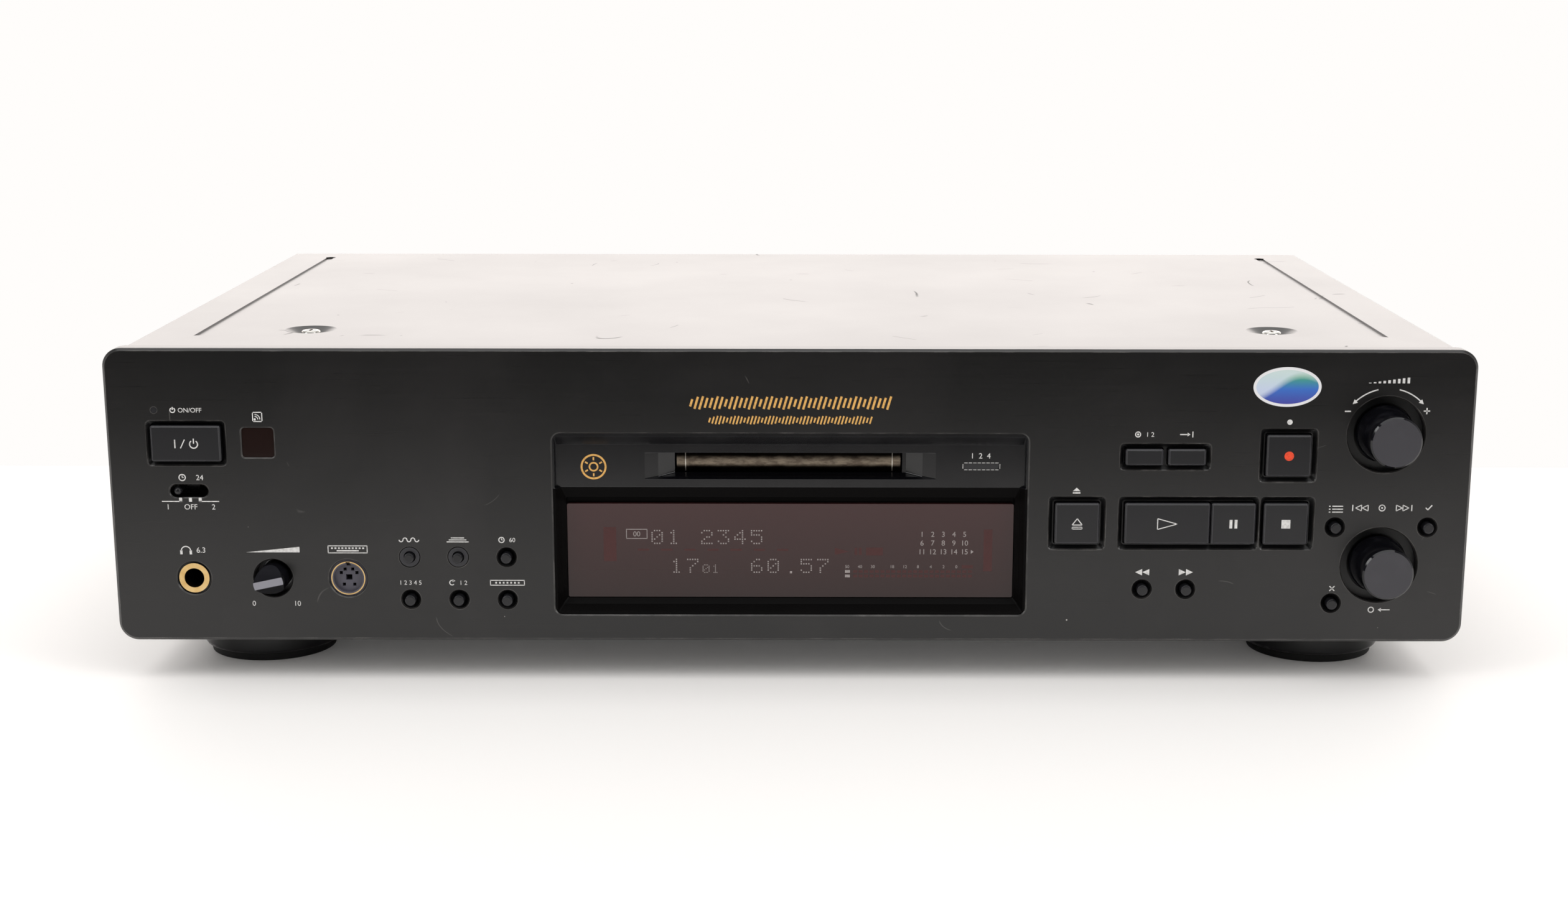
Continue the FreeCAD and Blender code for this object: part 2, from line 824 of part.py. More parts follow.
def turning_knob(z, proud):
    """Large turned knob: base flange, slightly tapered side, flat face, hollow rear."""
    face_y = -proud
    back_y = knob_flange_y + knob_flange_thick
    points = [
        Vector(knob_x + knob_shaft_radius, face_y + shaft_tip_back, z),
        Vector(knob_x, face_y + shaft_tip_back, z),
        Vector(knob_x, face_y, z),
        Vector(knob_x + knob_face - knob_edge, face_y, z),
        Vector(knob_x + knob_face, face_y + knob_edge, z),
        Vector(knob_x + knob_base, knob_flange_y, z),
        Vector(knob_x + knob_flange, knob_flange_y + knob_edge / 2, z),
        Vector(knob_x + knob_flange, back_y, z),
        Vector(knob_x + knob_base - knob_wall, back_y, z),
        Vector(knob_x + knob_face - knob_wall, face_y + shaft_tip_back, z),
        Vector(knob_x + knob_hub_radius, face_y + shaft_tip_back, z),
        Vector(knob_x + knob_hub_radius, back_y, z),
        Vector(knob_x + knob_shaft_radius, back_y, z),
        Vector(knob_x + knob_shaft_radius, face_y + shaft_tip_back, z),
    ]
    face = Part.Face(Part.makePolygon(points))
    return face.revolve(Vector(knob_x, 0, z), Y_AXIS, 360)


def record_shaft():
    """Encoder shaft of the recording level knob."""
    start = -record_knob_proud + shaft_tip_back + running_fit
    return rod(knob_x, record_knob_z, knob_shaft_radius - running_fit, start,
               encoder_y + shaft_reach)


def select_shaft():
    """Encoder shaft of the selector knob; it is pushed in with the knob."""
    start = -select_knob_proud + shaft_tip_back + running_fit
    return rod(knob_x, select_knob_z, knob_shaft_radius - running_fit, start,
               encoder_y + shaft_reach)


def encoders():
    """Rotary encoders and the volume potentiometer with their bushings."""
    pieces = []
    for z in (record_knob_z, select_knob_z):
        bushing = rod(knob_x, z, bushing_radius, panel_thick, encoder_y)
        body = block(knob_x - encoder_width / 2, knob_x + encoder_width / 2, encoder_y,
                     board_y, z - encoder_width / 2, z + encoder_width / 2)
        bore = rod(knob_x, z, knob_shaft_radius, 0,
                   encoder_y + shaft_reach + select_travel + slide_gap)
        pieces.append(bushing.fuse(body).removeSplitter().cut(bore))
    pot = block(level_x - encoder_width / 2, level_x + encoder_width / 2, carrier_y,
                carrier_y + level_pot_depth, socket_board_z + board_thick,
                socket_row_z + encoder_width / 2)
    hole = rod(level_x, socket_row_z, level_shaft_radius + running_fit, 0,
               carrier_y + level_bore_depth)
    pieces.append(pot.cut(hole))
    return Part.makeCompound(pieces)


def slot_bezel():
    """Centre moulding: sloped rim, faceted disc slot and the display's recess."""
    low = centre_z - centre_height / 2
    high = centre_z + centre_height / 2
    half = centre_width / 2
    body = slab(0, centre_z, centre_width - 2 * seat, centre_height - 2 * seat,
                centre_corner, centre_sink, bezel_rear)
    recess_half = recess_width / 2
    share = bezel_front / display_sink
    side_half = half + (recess_half - half) * share
    side_low = low + (recess_low - low) * share
    upper = sloped(half - bezel_rim, slot_face_low, high - bezel_rim, 0,
                   half - slot_face_margin, slot_face_low, slot_face_high, bezel_front, soft_corner)
    lower = sloped(half - bezel_rim, low + bezel_rim, slot_face_high, 0,
                   side_half, side_low, slot_face_low, bezel_front, soft_corner)
    gallery = sloped(side_half, side_low, slot_face_low, bezel_front,
                     recess_half, recess_low, recess_high, display_sink, soft_corner)
    recess_mid = (recess_low + recess_high) / 2
    recess = slab(0, recess_mid, recess_width, recess_high - recess_low, soft_corner,
                  display_sink, display_sink + display_thick)
    view = slab(0, recess_mid, recess_width - 2 * display_ledge,
                recess_high - recess_low - 2 * display_ledge, soft_corner, display_sink,
                bezel_rear + overcut)
    lamp = slab(lamp_x, lamp_z, lamp_width, lamp_height, lamp_height / 2, 0,
                bezel_rear + overcut)
    return body.cut([upper, lower, gallery, recess, view, lamp] + slot_cutters())


def slot_cutters():
    """Cutters for the two-faceted flare, the disc's mouth and the flap's room and hinge."""
    left, right = mouth_x - mouth_width / 2, mouth_x + mouth_width / 2
    outer = flare_width / 2
    inner = outer - flare_facet
    facet_y = bezel_front + flare_facet_depth
    flares = [
        sloped(outer, flare_low, flare_high, bezel_front,
               inner, flare_low + flare_rise, flare_high, facet_y, flare_corner),
        sloped(inner, flare_low + flare_rise, flare_high, facet_y,
               mouth_width / 2 - mouth_x, mouth_low, flare_high, flare_floor, flare_corner),
    ]
    mouth = block(left, right, 0, bezel_rear + overcut, mouth_low, mouth_high)
    swing = block(left, right, door_y - door_bulge, bezel_rear + overcut, mouth_low,
                  mouth_high + door_swing_room)
    reach = door_pin_reach + door_pin_play
    pin_hole = bar(door_y + door_thick, door_pin_z(), door_pin_radius + running_fit,
                   left - reach, right + reach)
    return flares + [mouth, swing, pin_hole]


def door_pin_z():
    """Height of the flap's hinge."""
    return mouth_high + door_pin_radius + door_pin_gap


def slot_door():
    """Bowed sheet flap that hangs from its hinge pin and closes the disc slot."""
    half = mouth_width / 2 - 2 * slide_gap
    top = door_pin_z()
    bottom = mouth_low + slide_gap
    y = door_y
    middle = (top + bottom) / 2
    front = Part.Arc(Vector(0, y, bottom), Vector(0, y - door_bulge, middle), Vector(0, y, top))
    rear = Part.Arc(Vector(0, y + door_thick, top), Vector(0, y + door_thick - door_bulge, middle),
                    Vector(0, y + door_thick, bottom))
    ends = [Part.LineSegment(Vector(0, y, top), Vector(0, y + door_thick, top)),
            Part.LineSegment(Vector(0, y + door_thick, bottom), Vector(0, y, bottom))]
    wire = Part.Wire([front.toShape(), ends[0].toShape(), rear.toShape(), ends[1].toShape()])
    sheet = Part.Face(wire).extrude(Vector(2 * half, 0, 0))
    sheet.translate(Vector(mouth_x - half, 0, 0))
    reach = mouth_width / 2 + door_pin_reach
    pin = bar(y + door_thick, top, door_pin_radius, mouth_x - reach, mouth_x + reach)
    return join([sheet, pin])


def display_window():
    """Smoked plate in front of the display."""
    middle = (display_low + display_high) / 2
    return slab(0, middle, display_width, display_high - display_low, soft_corner,
                display_sink, display_sink + display_thick)


def display_tube():
    """Flat fluorescent display behind the window, with its evacuation nipple."""
    middle = (recess_low + recess_high) / 2
    half = centre_width / 2 - tube_margin
    glass = block(-half, half, bezel_rear, bezel_rear + tube_depth,
                  centre_z - centre_height / 2 + tube_sill, recess_high)
    nipple = bar(bezel_rear + tube_depth / 2, middle, nipple_radius, half - nipple_radius,
                 half - nipple_radius + nipple_length)
    return join([glass, nipple])


def lamps():
    """Light bar beside the disc slot, and the small round lamp at the upper left."""
    length = lamp_width - 2 * seat
    light_bar = slab(lamp_x, lamp_z, length, lamp_height - 2 * seat, lamp_height / 2 - seat,
                     bezel_front + lamp_sink, bezel_rear + lamp_depth)
    lens = rod(standby_x, standby_z, standby_radius, standby_sink, carrier_y)
    body = rod(standby_x, standby_z, standby_radius + standby_flange, carrier_y, board_y)
    return Part.makeCompound([light_bar, join([lens, body])])


def remote_window():
    """Dark square window with the infrared receiver behind it."""
    window = slab(remote_x, remote_z, remote_width - 2 * seat, remote_height - 2 * seat,
                  opening_corner, remote_sink, carrier_y)
    half = receiver_size / 2
    receiver = block(remote_x - half, remote_x + half, carrier_y, board_y,
                     remote_z - half, remote_z + half)
    return join([window, receiver])


def headphone_jack():
    """Gilt ring and moulded body of the headphone socket."""
    ring = rod(phones_x, socket_row_z, phones_ring, phones_sink, carrier_y)
    outer = rod(phones_x, socket_row_z, phones_hole - seat, phones_shoulder, carrier_y)
    body = block(phones_x - phones_body / 2, phones_x + phones_body / 2, carrier_y,
                 carrier_y + phones_depth, socket_board_z + board_thick,
                 socket_row_z + phones_body / 2)
    bore = rod(phones_x, socket_row_z, phones_bore, -overcut,
               carrier_y + phones_depth - jack_wall)
    return join([ring, outer, body]).cut(bore)


def keyboard_socket():
    """Round six-pole socket: metal shell, insert with pin holes and a key slot."""
    shell = rod(keyboard_x, socket_row_z, keyboard_hole - seat, keyboard_sink, carrier_y)
    ring = rod(keyboard_x, socket_row_z, keyboard_ring + keyboard_ring_wall,
               keyboard_ring_sink, carrier_y)
    half = keyboard_body / 2
    body = block(keyboard_x - half, keyboard_x + half, carrier_y, carrier_y + keyboard_depth,
                 socket_board_z + board_thick, socket_row_z + half)
    socket = join([shell, ring, body])
    well = rod(keyboard_x, socket_row_z, keyboard_ring - keyboard_ring_wall, -overcut,
               keyboard_well)
    holes = [well]
    size = keyboard_pin_size
    for turn in (-60, -25, 25, 60, 145, 215):
        angle = math.radians(90 + turn)
        x = keyboard_x + keyboard_pin_circle * math.cos(angle)
        z = socket_row_z + keyboard_pin_circle * math.sin(angle)
        holes.append(block(x - size / 2, x + size / 2, 0, keyboard_pin_depth,
                           z - size / 2, z + size / 2))
    key_half, key_rise = keyboard_key_width / 2, keyboard_key_height / 2
    holes.append(block(keyboard_x - key_half, keyboard_x + key_half, 0, keyboard_pin_depth,
                       socket_row_z - key_rise, socket_row_z + key_rise))
    notch_top = socket_row_z + keyboard_ring + keyboard_notch_play
    holes.append(block(keyboard_x - keyboard_notch / 2, keyboard_x + keyboard_notch / 2, 0,
                       keyboard_notch_depth, notch_top - keyboard_notch, notch_top))
    return socket.cut(holes)


def board_areas():
    """Left, right, lower and upper edge of each upright board."""
    left = (standby_x - 2 * board_edge, left_board_right, left_board_low, left_board_high)
    keys = (key_xs[0] - key_board_margin, key_xs[2] + key_board_margin,
            key_board_low, key_board_high)
    right = (eject_x - key_board_margin, right_board_right, right_board_low, right_board_high)
    return left, keys, right


def board_posts():
    """Posts between the carrier and the upright boards."""
    left, keys, right = board_areas()
    key_mid_z = (key_lower_z + key_upper_z) / 2
    between_knobs = (record_knob_z + select_knob_z) / 2
    return [
        (left[0] + board_edge, left[3] - board_edge),
        (left[1] - board_edge, left[3] - board_edge),
        (left[1] - board_edge, left[2] + board_edge),
        (keys[0] + board_edge / 2 + key_flange + key_pitch_x / 2, key_mid_z),
        (keys[1] - board_edge / 2 - key_flange - key_pitch_x / 2, key_mid_z),
        (right[0] + board_edge, right[3] - board_edge),
        (right[0] + board_edge, tray_lip + board_edge),
        (stop_x, search_key_z),
        (knob_x, between_knobs),
    ]


def front_boards():
    """Circuit boards behind the buttons and the shelf board of the sockets."""
    boards = [block(x0, x1, board_y, board_rear, z0, z1) for x0, x1, z0, z1 in board_areas()]
    boards.append(block(phones_x - key_board_margin, keyboard_x + key_board_margin, carrier_y,
                        carrier_y + phones_depth + jack_wall, socket_board_z,
                        socket_board_z + board_thick))
    return Part.makeCompound(boards)


def switch_at(x, z):
    """Push switch on the board with its plunger towards the button."""
    half = switch_width / 2
    base = block(x - half, x + half, board_y - switch_height, board_y, z - half, z + half)
    return join([base, rod(x, z, plunger_radius, plunger_y, board_y - switch_height)])


def push_switches():
    """One switch behind each button, and the slide switch of the timer."""
    places = [(row[0], row[1]) for row in square_buttons().values()]
    places += list(round_keys().values()) + list(flush_keys().values())
    switches = [switch_at(x, z) for x, z in places]
    half_x, half_z = timer_switch_length / 2, timer_switch_height / 2
    switches.append(block(timer_x - half_x, timer_x + half_x,
                          stem_y + stem_length + slide_gap, board_y,
                          timer_z - half_z, timer_z + half_z))
    return Part.makeCompound(switches)


def base_pan():
    """Folded steel tray with side walls, a front lip and pressed standoffs."""
    floor = block(-tray_half, tray_half, carrier_y, rear_y, 0, sheet_thick)
    left = block(-tray_half, -tray_half + sheet_thick, carrier_y, rear_y, 0, tray_wall)
    right = block(tray_half - sheet_thick, tray_half, carrier_y, rear_y, 0, tray_wall)
    lip = block(-tray_half, tray_half, carrier_y, carrier_y + sheet_thick, 0, tray_lip)
    tray = [floor, left, right, lip]
    for x, y in board_corners():
        tray.append(post(x, y, standoff_radius, 0, main_board_z))
    for x, y in drive_corners():
        tray.append(post(x, y, drive_post_radius, 0, drive_floor_z))
    pan = join(tray)
    holes = [post(x, y, screw_radius + seat, -overcut, sheet_thick + overcut)
             for x, y in foot_places()]
    return pan.cut(holes)


def board_corners():
    """Standoffs under the main board."""
    half_x = main_board_width / 2 - standoff_inset
    half_y = main_board_depth / 2 - standoff_inset
    return [(main_board_x + i * half_x, main_board_y + j * half_y)
            for i in (-1, 1) for j in (-1, 1)]


def drive_corners():
    """Pillars under the disc drive."""
    inset = drive_post_radius + drive_post_inset
    rear = drive_front + drive_depth - inset
    return [(mouth_x + i * (drive_half_width - inset), y)
            for i in (-1, 1) for y in (drive_front + inset, rear)]


def foot_places():
    """Centres of the four feet."""
    return [(i * foot_x, y) for i in (-1, 1) for y in (foot_front_y, foot_rear_y)]


def cross_beam():
    """Steel bridge across the housing that takes the cover's screws."""
    y0, y1 = cover_screw_y - beam_half, cover_screw_y + beam_half
    outside = tray_half - sheet_thick - cover_gap
    top = block(-outside, outside, y0, y1, beam_top - sheet_thick, beam_top)
    legs = [block(-outside, -outside + sheet_thick, y0, y1, sheet_thick, beam_top),
            block(outside - sheet_thick, outside, y0, y1, sheet_thick, beam_top)]
    rib = block(-outside, outside, y1 - sheet_thick, y1, beam_top - beam_rib, beam_top)
    holes = [post(i * cover_screw_x, cover_screw_y, screw_radius + seat, 0, panel_height)
             for i in (-1, 1)]
    return join([top, rib] + legs).cut(holes)


def rear_panel():
    """Steel rear wall with the cut-outs for its sockets."""
    wall = block(-tray_half, tray_half, rear_y, body_depth, 0, cover_under - cover_gap)
    y0, y1 = rear_y - overcut, body_depth + overcut
    hole_radius = phono_radius + phono_neck + phono_hole_play
    holes = [rod(x, z, hole_radius, y0, y1) for x, z in phono_places()]
    side = optical_size + 2 * seat
    holes += [slab(x, optical_z, side, side, soft_corner, y0, y1) for x in optical_places()]
    holes.append(slab(inlet_x, inlet_z, inlet_width + 2 * seat, inlet_height + 2 * seat,
                      inlet_corner, y0, y1))
    return wall.cut(holes)


def top_cover():
    """Folded steel cover: raised front apron, two pressed grooves and screw dimples."""
    front = panel_thick + cover_gap
    half = body_width / 2
    outer = block(-half, half, front, body_depth, cover_lift, cover_top)
    inner = block(-cover_inside, cover_inside, front - overcut, body_depth + overcut, 0,
                  cover_under)
    apron = block(-apron_width / 2, apron_width / 2, front, apron_depth,
                  cover_top - cover_thick, cover_top + apron_rise)
    upright = [edge for edge in apron.Edges
               if edge.BoundBox.ZLength > apron_rise and edge.BoundBox.YMin > front + hair]
    apron = apron.makeFillet(apron_corner, upright)
    folds = [edge for edge in outer.Edges
             if edge.BoundBox.YLength > hair and edge.BoundBox.ZMin > cover_top - hair]
    outer = outer.makeFillet(cover_thick, folds)
    cups = [post(i * cover_screw_x, cover_screw_y, dimple_radius + dimple_wall, beam_top,
                 cover_top - cover_thick / 2) for i in (-1, 1)]
    cover = join([outer.cut(inner), apron] + cups)
    cutters = []
    for i in (-1, 1):
        x = i * groove_x
        cutters.append(block(x - groove_width / 2, x + groove_width / 2, apron_depth,
                             groove_rear, cover_top - groove_depth, cover_top + overcut))
        cutters.append(post(x, groove_rear, groove_dot_radius, cover_top - groove_depth,
                            cover_top + overcut))
        place = Vector(i * cover_screw_x, cover_screw_y, cover_top - dimple_depth)
        cutters.append(Part.makeCone(dimple_floor, dimple_radius, dimple_depth, place, Z_AXIS))
        cutters.append(post(i * cover_screw_x, cover_screw_y, screw_radius + seat, 0,
                            cover_top + overcut))
    return cover.cut(cutters)


def pan_head_screw(x, y, z):
    """Cross-head screw whose head rests at height z, shank downwards."""
    shank = post(x, y, screw_radius, z - screw_length, z)
    head = post(x, y, screw_head_radius, z, z + screw_head_height)
    top = z + screw_head_height
    top_edge = [edge for edge in head.Edges if edge.BoundBox.ZMin > top - hair]
    head = head.makeFillet(screw_head_height / 2, top_edge)
    half, wide = cross_span / 2, cross_width / 2
    slots = [block(x - half, x + half, y - wide, y + wide, top - cross_depth, top + overcut),
             block(x - wide, x + wide, y - half, y + half, top - cross_depth, top + overcut)]
    return join([shank, head]).cut(slots)


def screws():
    """Two screws in the cover's dimples, and one up into the base from each foot's pocket."""
    floor = cover_top - dimple_depth
    placed = [pan_head_screw(i * cover_screw_x, cover_screw_y, floor) for i in (-1, 1)]
    seat_z = pad_height - foot_height + foot_pocket_depth
    for x, y in foot_places():
        screw = pan_head_screw(x, y, 0)
        screw.rotate(Vector(x, y, 0), X_AXIS, 180)
        screw.translate(Vector(0, 0, seat_z))
        placed.append(screw)
    return Part.makeCompound(placed)


def foot(x, y):
    """Round moulded foot with a pocket for its screw."""
    bottom = pad_height - foot_height
    body = Part.makeCone(foot_radius - foot_taper, foot_radius, -bottom, Vector(x, y, bottom),
                         Z_AXIS)
    rim = [edge for edge in body.Edges if edge.BoundBox.ZMax < bottom + hair]
    body = body.makeFillet(foot_edge, rim)
    pocket = post(x, y, foot_pocket_radius, bottom - overcut, bottom + foot_pocket_depth)
    bore = post(x, y, screw_radius + seat, bottom - overcut, overcut)
    return body.cut([pocket, bore])


def feet():
    """Four feet."""
    return Part.makeCompound([foot(x, y) for x, y in foot_places()])


def foot_pads():
    """Rubber discs under the feet."""
    pads = []
    for x, y in foot_places():
        pad = post(x, y, pad_radius, -foot_height, pad_height - foot_height)
        rim = [edge for edge in pad.Edges if edge.BoundBox.ZMax < hair - foot_height]
        pads.append(pad.makeFillet(pad_edge, rim))
    return Part.makeCompound(pads)


def transformer_core():
    """Laminated core with two windows, standing on the base."""
    x0, x1 = core_x - core_width / 2, core_x + core_width / 2
    y0, y1 = core_y - core_depth / 2, core_y + core_depth / 2
    core = block(x0, x1, y0, y1, sheet_thick, sheet_thick + core_height)
    low = sheet_thick + core_leg
    high = sheet_thick + core_height - core_leg
    windows = [block(x0 + core_leg, core_x - core_leg, y0 - overcut, y1 + overcut, low, high),
               block(core_x + core_leg, x1 - core_leg, y0 - overcut, y1 + overcut, low, high)]
    return core.cut(windows)


def transformer_coil():
    """Taped winding round the middle leg of the core."""
    low = sheet_thick + core_leg + coil_gap
    high = sheet_thick + core_height - core_leg - coil_gap
    x0 = core_x - core_width / 2 + core_leg + coil_gap
    x1 = core_x + core_width / 2 - core_leg - coil_gap
    y0 = core_y - core_depth / 2 - coil_swell
    y1 = core_y + core_depth / 2 + coil_swell
    coil = block(x0, x1, y0, y1, low, high)
    upright = [edge for edge in coil.Edges if edge.BoundBox.ZLength > hair]
    coil = coil.makeFillet(coil_swell / 2, upright)
    leg = block(core_x - core_leg - coil_gap, core_x + core_leg + coil_gap,
                core_y - core_depth / 2 - coil_gap, core_y + core_depth / 2 + coil_gap,
                low - overcut, high + overcut)
    return coil.cut(leg)


def main_board():
    """Main circuit board with its large chips."""
    x0 = main_board_x - main_board_width / 2
    y0 = main_board_y - main_board_depth / 2
    top = main_board_z + board_thick
    board = block(x0, x0 + main_board_width, y0, y0 + main_board_depth, main_board_z, top)
    chips = []
    for i in range(chip_count):
        x = main_board_x + (i - 1) * chip_count * chip_size
        chips.append(block(x, x + chip_size, main_board_y - chip_size / 2,
                           main_board_y + chip_size / 2, top, top + chip_height))
    return join([board] + chips)


def capacitors():
    """Smoothing capacitors that stand on the main board beside the transformer."""
    cans = []
    base = main_board_z + board_thick
    x = main_board_x - main_board_width / 2 + capacitor_radius + capacitor_side
    for i in range(capacitor_count):
        y = main_board_y - main_board_depth / 2 + capacitor_front + (i % 2) * 2 * capacitor_pitch
        can = post(x + (i // 2) * capacitor_pitch, y, capacitor_radius, base,
                   base + capacitor_height)
        cans.append(can)
    return cans


def phono_places():
    """Centres of the line sockets on the rear panel."""
    return [(phono_x + i * phono_pitch, phono_z + j * phono_row_pitch / 2)
            for i in (0, 1) for j in (-1, 1)]


def phono_jacks():
    """Moulded block of four line sockets with metal barrels."""
    x = phono_x + phono_pitch / 2
    width = phono_pitch + 2 * phono_margin
    height = phono_row_pitch + 2 * phono_margin
    plate = slab(x, phono_z, width, height, phono_corner, body_depth, body_depth + phono_plate)
    inside = block(x - width / 2, x + width / 2, rear_y - phono_body_depth, rear_y,
                   phono_z - height / 2, phono_z + height / 2)
    pieces = [plate, inside]
    bores = []
    for px, pz in phono_places():
        pieces.append(rod(px, pz, phono_radius + phono_neck, rear_y, body_depth))
        pieces.append(rod(px, pz, phono_radius, body_depth + phono_plate, phono_reach))
        bores.append(rod(px, pz, phono_bore, body_depth + phono_plate, phono_reach + overcut))
    return join(pieces).cut(bores)


def optical_places():
    """Positions of the optical sockets on the rear panel."""
    return [optical_x + i * optical_pitch for i in range(optical_count)]


def optical_jacks():
    """Optical sockets, each a square body with a shallow square port."""
    sockets = []
    for x in optical_places():
        body = slab(x, optical_z, optical_size, optical_size, soft_corner,
                    rear_y - optical_body_depth, body_depth + optical_lip)
        port = slab(x, optical_z, optical_hole, optical_hole, optical_corner,
                    body_depth - optical_port, body_depth + optical_lip + overcut)
        sockets.append(body.cut(port))
    return Part.makeCompound(sockets)


def mains_inlet():
    """Two-pin mains inlet with a rounded port."""
    face_y = body_depth + inlet_flange_thick
    flange = slab(inlet_x, inlet_z, inlet_width + 2 * inlet_flange,
                  inlet_height + 2 * inlet_flange, inlet_flange, body_depth, face_y)
    body = slab(inlet_x, inlet_z, inlet_width, inlet_height, inlet_corner,
                rear_y - inlet_depth, body_depth)
    port = slab(inlet_x, inlet_z, inlet_slot_width, inlet_slot_height, inlet_slot_height / 2,
                face_y - inlet_slot_depth, face_y + overcut)
    pins = [rod(inlet_x + i * inlet_pin_spread, inlet_z, inlet_pin_radius,
                face_y - inlet_slot_depth, body_depth) for i in (-1, 1)]
    return join([join([flange, body]).cut(port)] + pins)


def drive_frame():
    """Open sheet frame of the disc drive with rod holders and the motor's hole."""
    x0, x1 = mouth_x - drive_half_width, mouth_x + drive_half_width
    rear = drive_front + drive_depth
    floor = block(x0, x1, drive_front, rear, drive_floor_z, drive_floor_z + sheet_thick)
    walls = [block(x0, x0 + sheet_thick, drive_front, rear, drive_floor_z, drive_wall_top),
             block(x1 - sheet_thick, x1, drive_front, rear, drive_floor_z, drive_wall_top)]
    left = mouth_x - rod_spread - bridge_margin
    right = mouth_x + screw_x + bridge_margin
    rod_rear = rod_front + rod_length
    bridges = [block(left, right, y - bridge_thick / 2, y + bridge_thick / 2, drive_floor_z,
                     rod_z + bridge_rise) for y in (rod_front, rod_rear)]
    rail_top = cam_low - cam_rail_gap
    shelf_x = mouth_x + holder_half_width + cam_gap + cam_thick
    rail = block(shelf_x, x1, drive_front, drive_front + cam_length + cam_travel + rail_spare,
                 rail_top - sheet_thick, rail_top)
    frame = join([floor, rail] + walls + bridges)
    y0, y1 = rod_front - bridge_thick, rod_rear + bridge_thick
    holes = [rod(mouth_x + i * rod_spread, rod_z, rod_radius, y0, y1) for i in (-1, 1)]
    holes.append(rod(mouth_x + screw_x, rod_z, lead_radius + running_fit, y0, y1))
    holes.append(block(mouth_x - floor_window / 2, mouth_x + floor_window / 2,
                       rod_front + floor_window_gap, rod_rear - floor_window_gap,
                       drive_floor_z - overcut, drive_floor_z + sheet_thick + overcut))
    return frame.cut(holes)


def cam_pin_places():
    """Depth of each of the holder's two cam pins."""
    return [holder_front + cam_travel + cam_pin_inset, holder_front + cam_length - cam_pin_inset]


def cam_pin_z():
    """Height of the cam pins while the holder is up."""
    return (holder_low + holder_high) / 2


def disc_holder():
    """Sheet carrier that takes the cartridge, open in front, with its two cam pins."""
    x0, x1 = mouth_x - holder_half_width, mouth_x + holder_half_width
    rear = holder_front + holder_depth
    shell = block(x0, x1, holder_front, rear, holder_low, holder_high)
    space = block(x0 + holder_wall, x1 - holder_wall, holder_front - overcut,
                  rear - holder_wall, holder_low + holder_wall, holder_high - holder_wall)
    below = block(mouth_x - holder_window / 2, mouth_x + holder_window / 2,
                  holder_front + holder_tongue, rear + overcut, holder_low - overcut,
                  holder_low + holder_wall + overcut)
    above = block(mouth_x - arm_width, mouth_x + arm_width, disc_centre_y + head_slot_gap,
                  rear + overcut, holder_high - holder_wall - overcut, holder_high + overcut)
    pins = [bar(y, cam_pin_z(), cam_pin_radius, x1 - holder_wall, x1 + cam_gap + cam_thick)
            for y in cam_pin_places()]
    return join([shell.cut([space, below, above])] + pins)


def cam_slider():
    """Plate beside the holder; its sloping slots lower the holder as it slides back."""
    x = mouth_x + holder_half_width + cam_gap
    y0 = holder_front + cam_setback
    plate = block(x, x + cam_thick, y0, y0 + cam_length, cam_low, cam_low + cam_height)
    radius = cam_pin_radius + cam_pin_play
    length = math.hypot(cam_travel, holder_drop)
    slope = math.degrees(math.atan2(holder_drop, cam_travel))
    slots = []
    for y in cam_pin_places():
        x0, x1 = x - overcut, x + cam_thick + overcut
        slot = block(x0, x1, y - length, y, cam_pin_z() - radius, cam_pin_z() + radius)
        ends = [bar(end, cam_pin_z(), radius, x0, x1) for end in (y - length, y)]
        slot = join([slot] + ends)
        slot.rotate(Vector(x, y, cam_pin_z()), X_AXIS, slope)
        slots.append(slot)
    shelf = block(x + cam_thick, x + cam_thick + cam_shelf, y0, y0 + cam_length, cam_low,
                  cam_low + holder_wall)
    return join([plate.cut(slots), shelf])


def turntable():
    """Small platter with a centring hub on the motor's spindle."""
    platter = post(mouth_x, disc_centre_y, turntable_radius, turntable_z,
                   turntable_z + turntable_thick)
    hub = Part.makeCone(hub_radius, hub_radius - hub_taper, hub_height,
                        Vector(mouth_x, disc_centre_y, turntable_z + turntable_thick), Z_AXIS)
    spindle = post(mouth_x, disc_centre_y, spindle_radius, motor_top() - spindle_reach,
                   turntable_z)
    return join([platter, hub, spindle])


def motor_top():
    """Top of the spindle motor."""
    return drive_floor_z + sheet_thick + motor_height


def spindle_motor():
    """Flat motor under the turntable."""
    motor = post(mouth_x, disc_centre_y, motor_radius, drive_floor_z + sheet_thick, motor_top())
    return motor.cut(post(mouth_x, disc_centre_y, spindle_radius + running_fit,
                          motor_top() - spindle_bore, motor_top() + overcut))


def guide_rods():
    """Two steel rods that the pickup slides on."""
    rods = [rod(mouth_x + i * rod_spread, rod_z, rod_radius, rod_front - rod_proud,
                rod_front + rod_length + rod_proud) for i in (-1, 1)]
    return Part.makeCompound(rods)


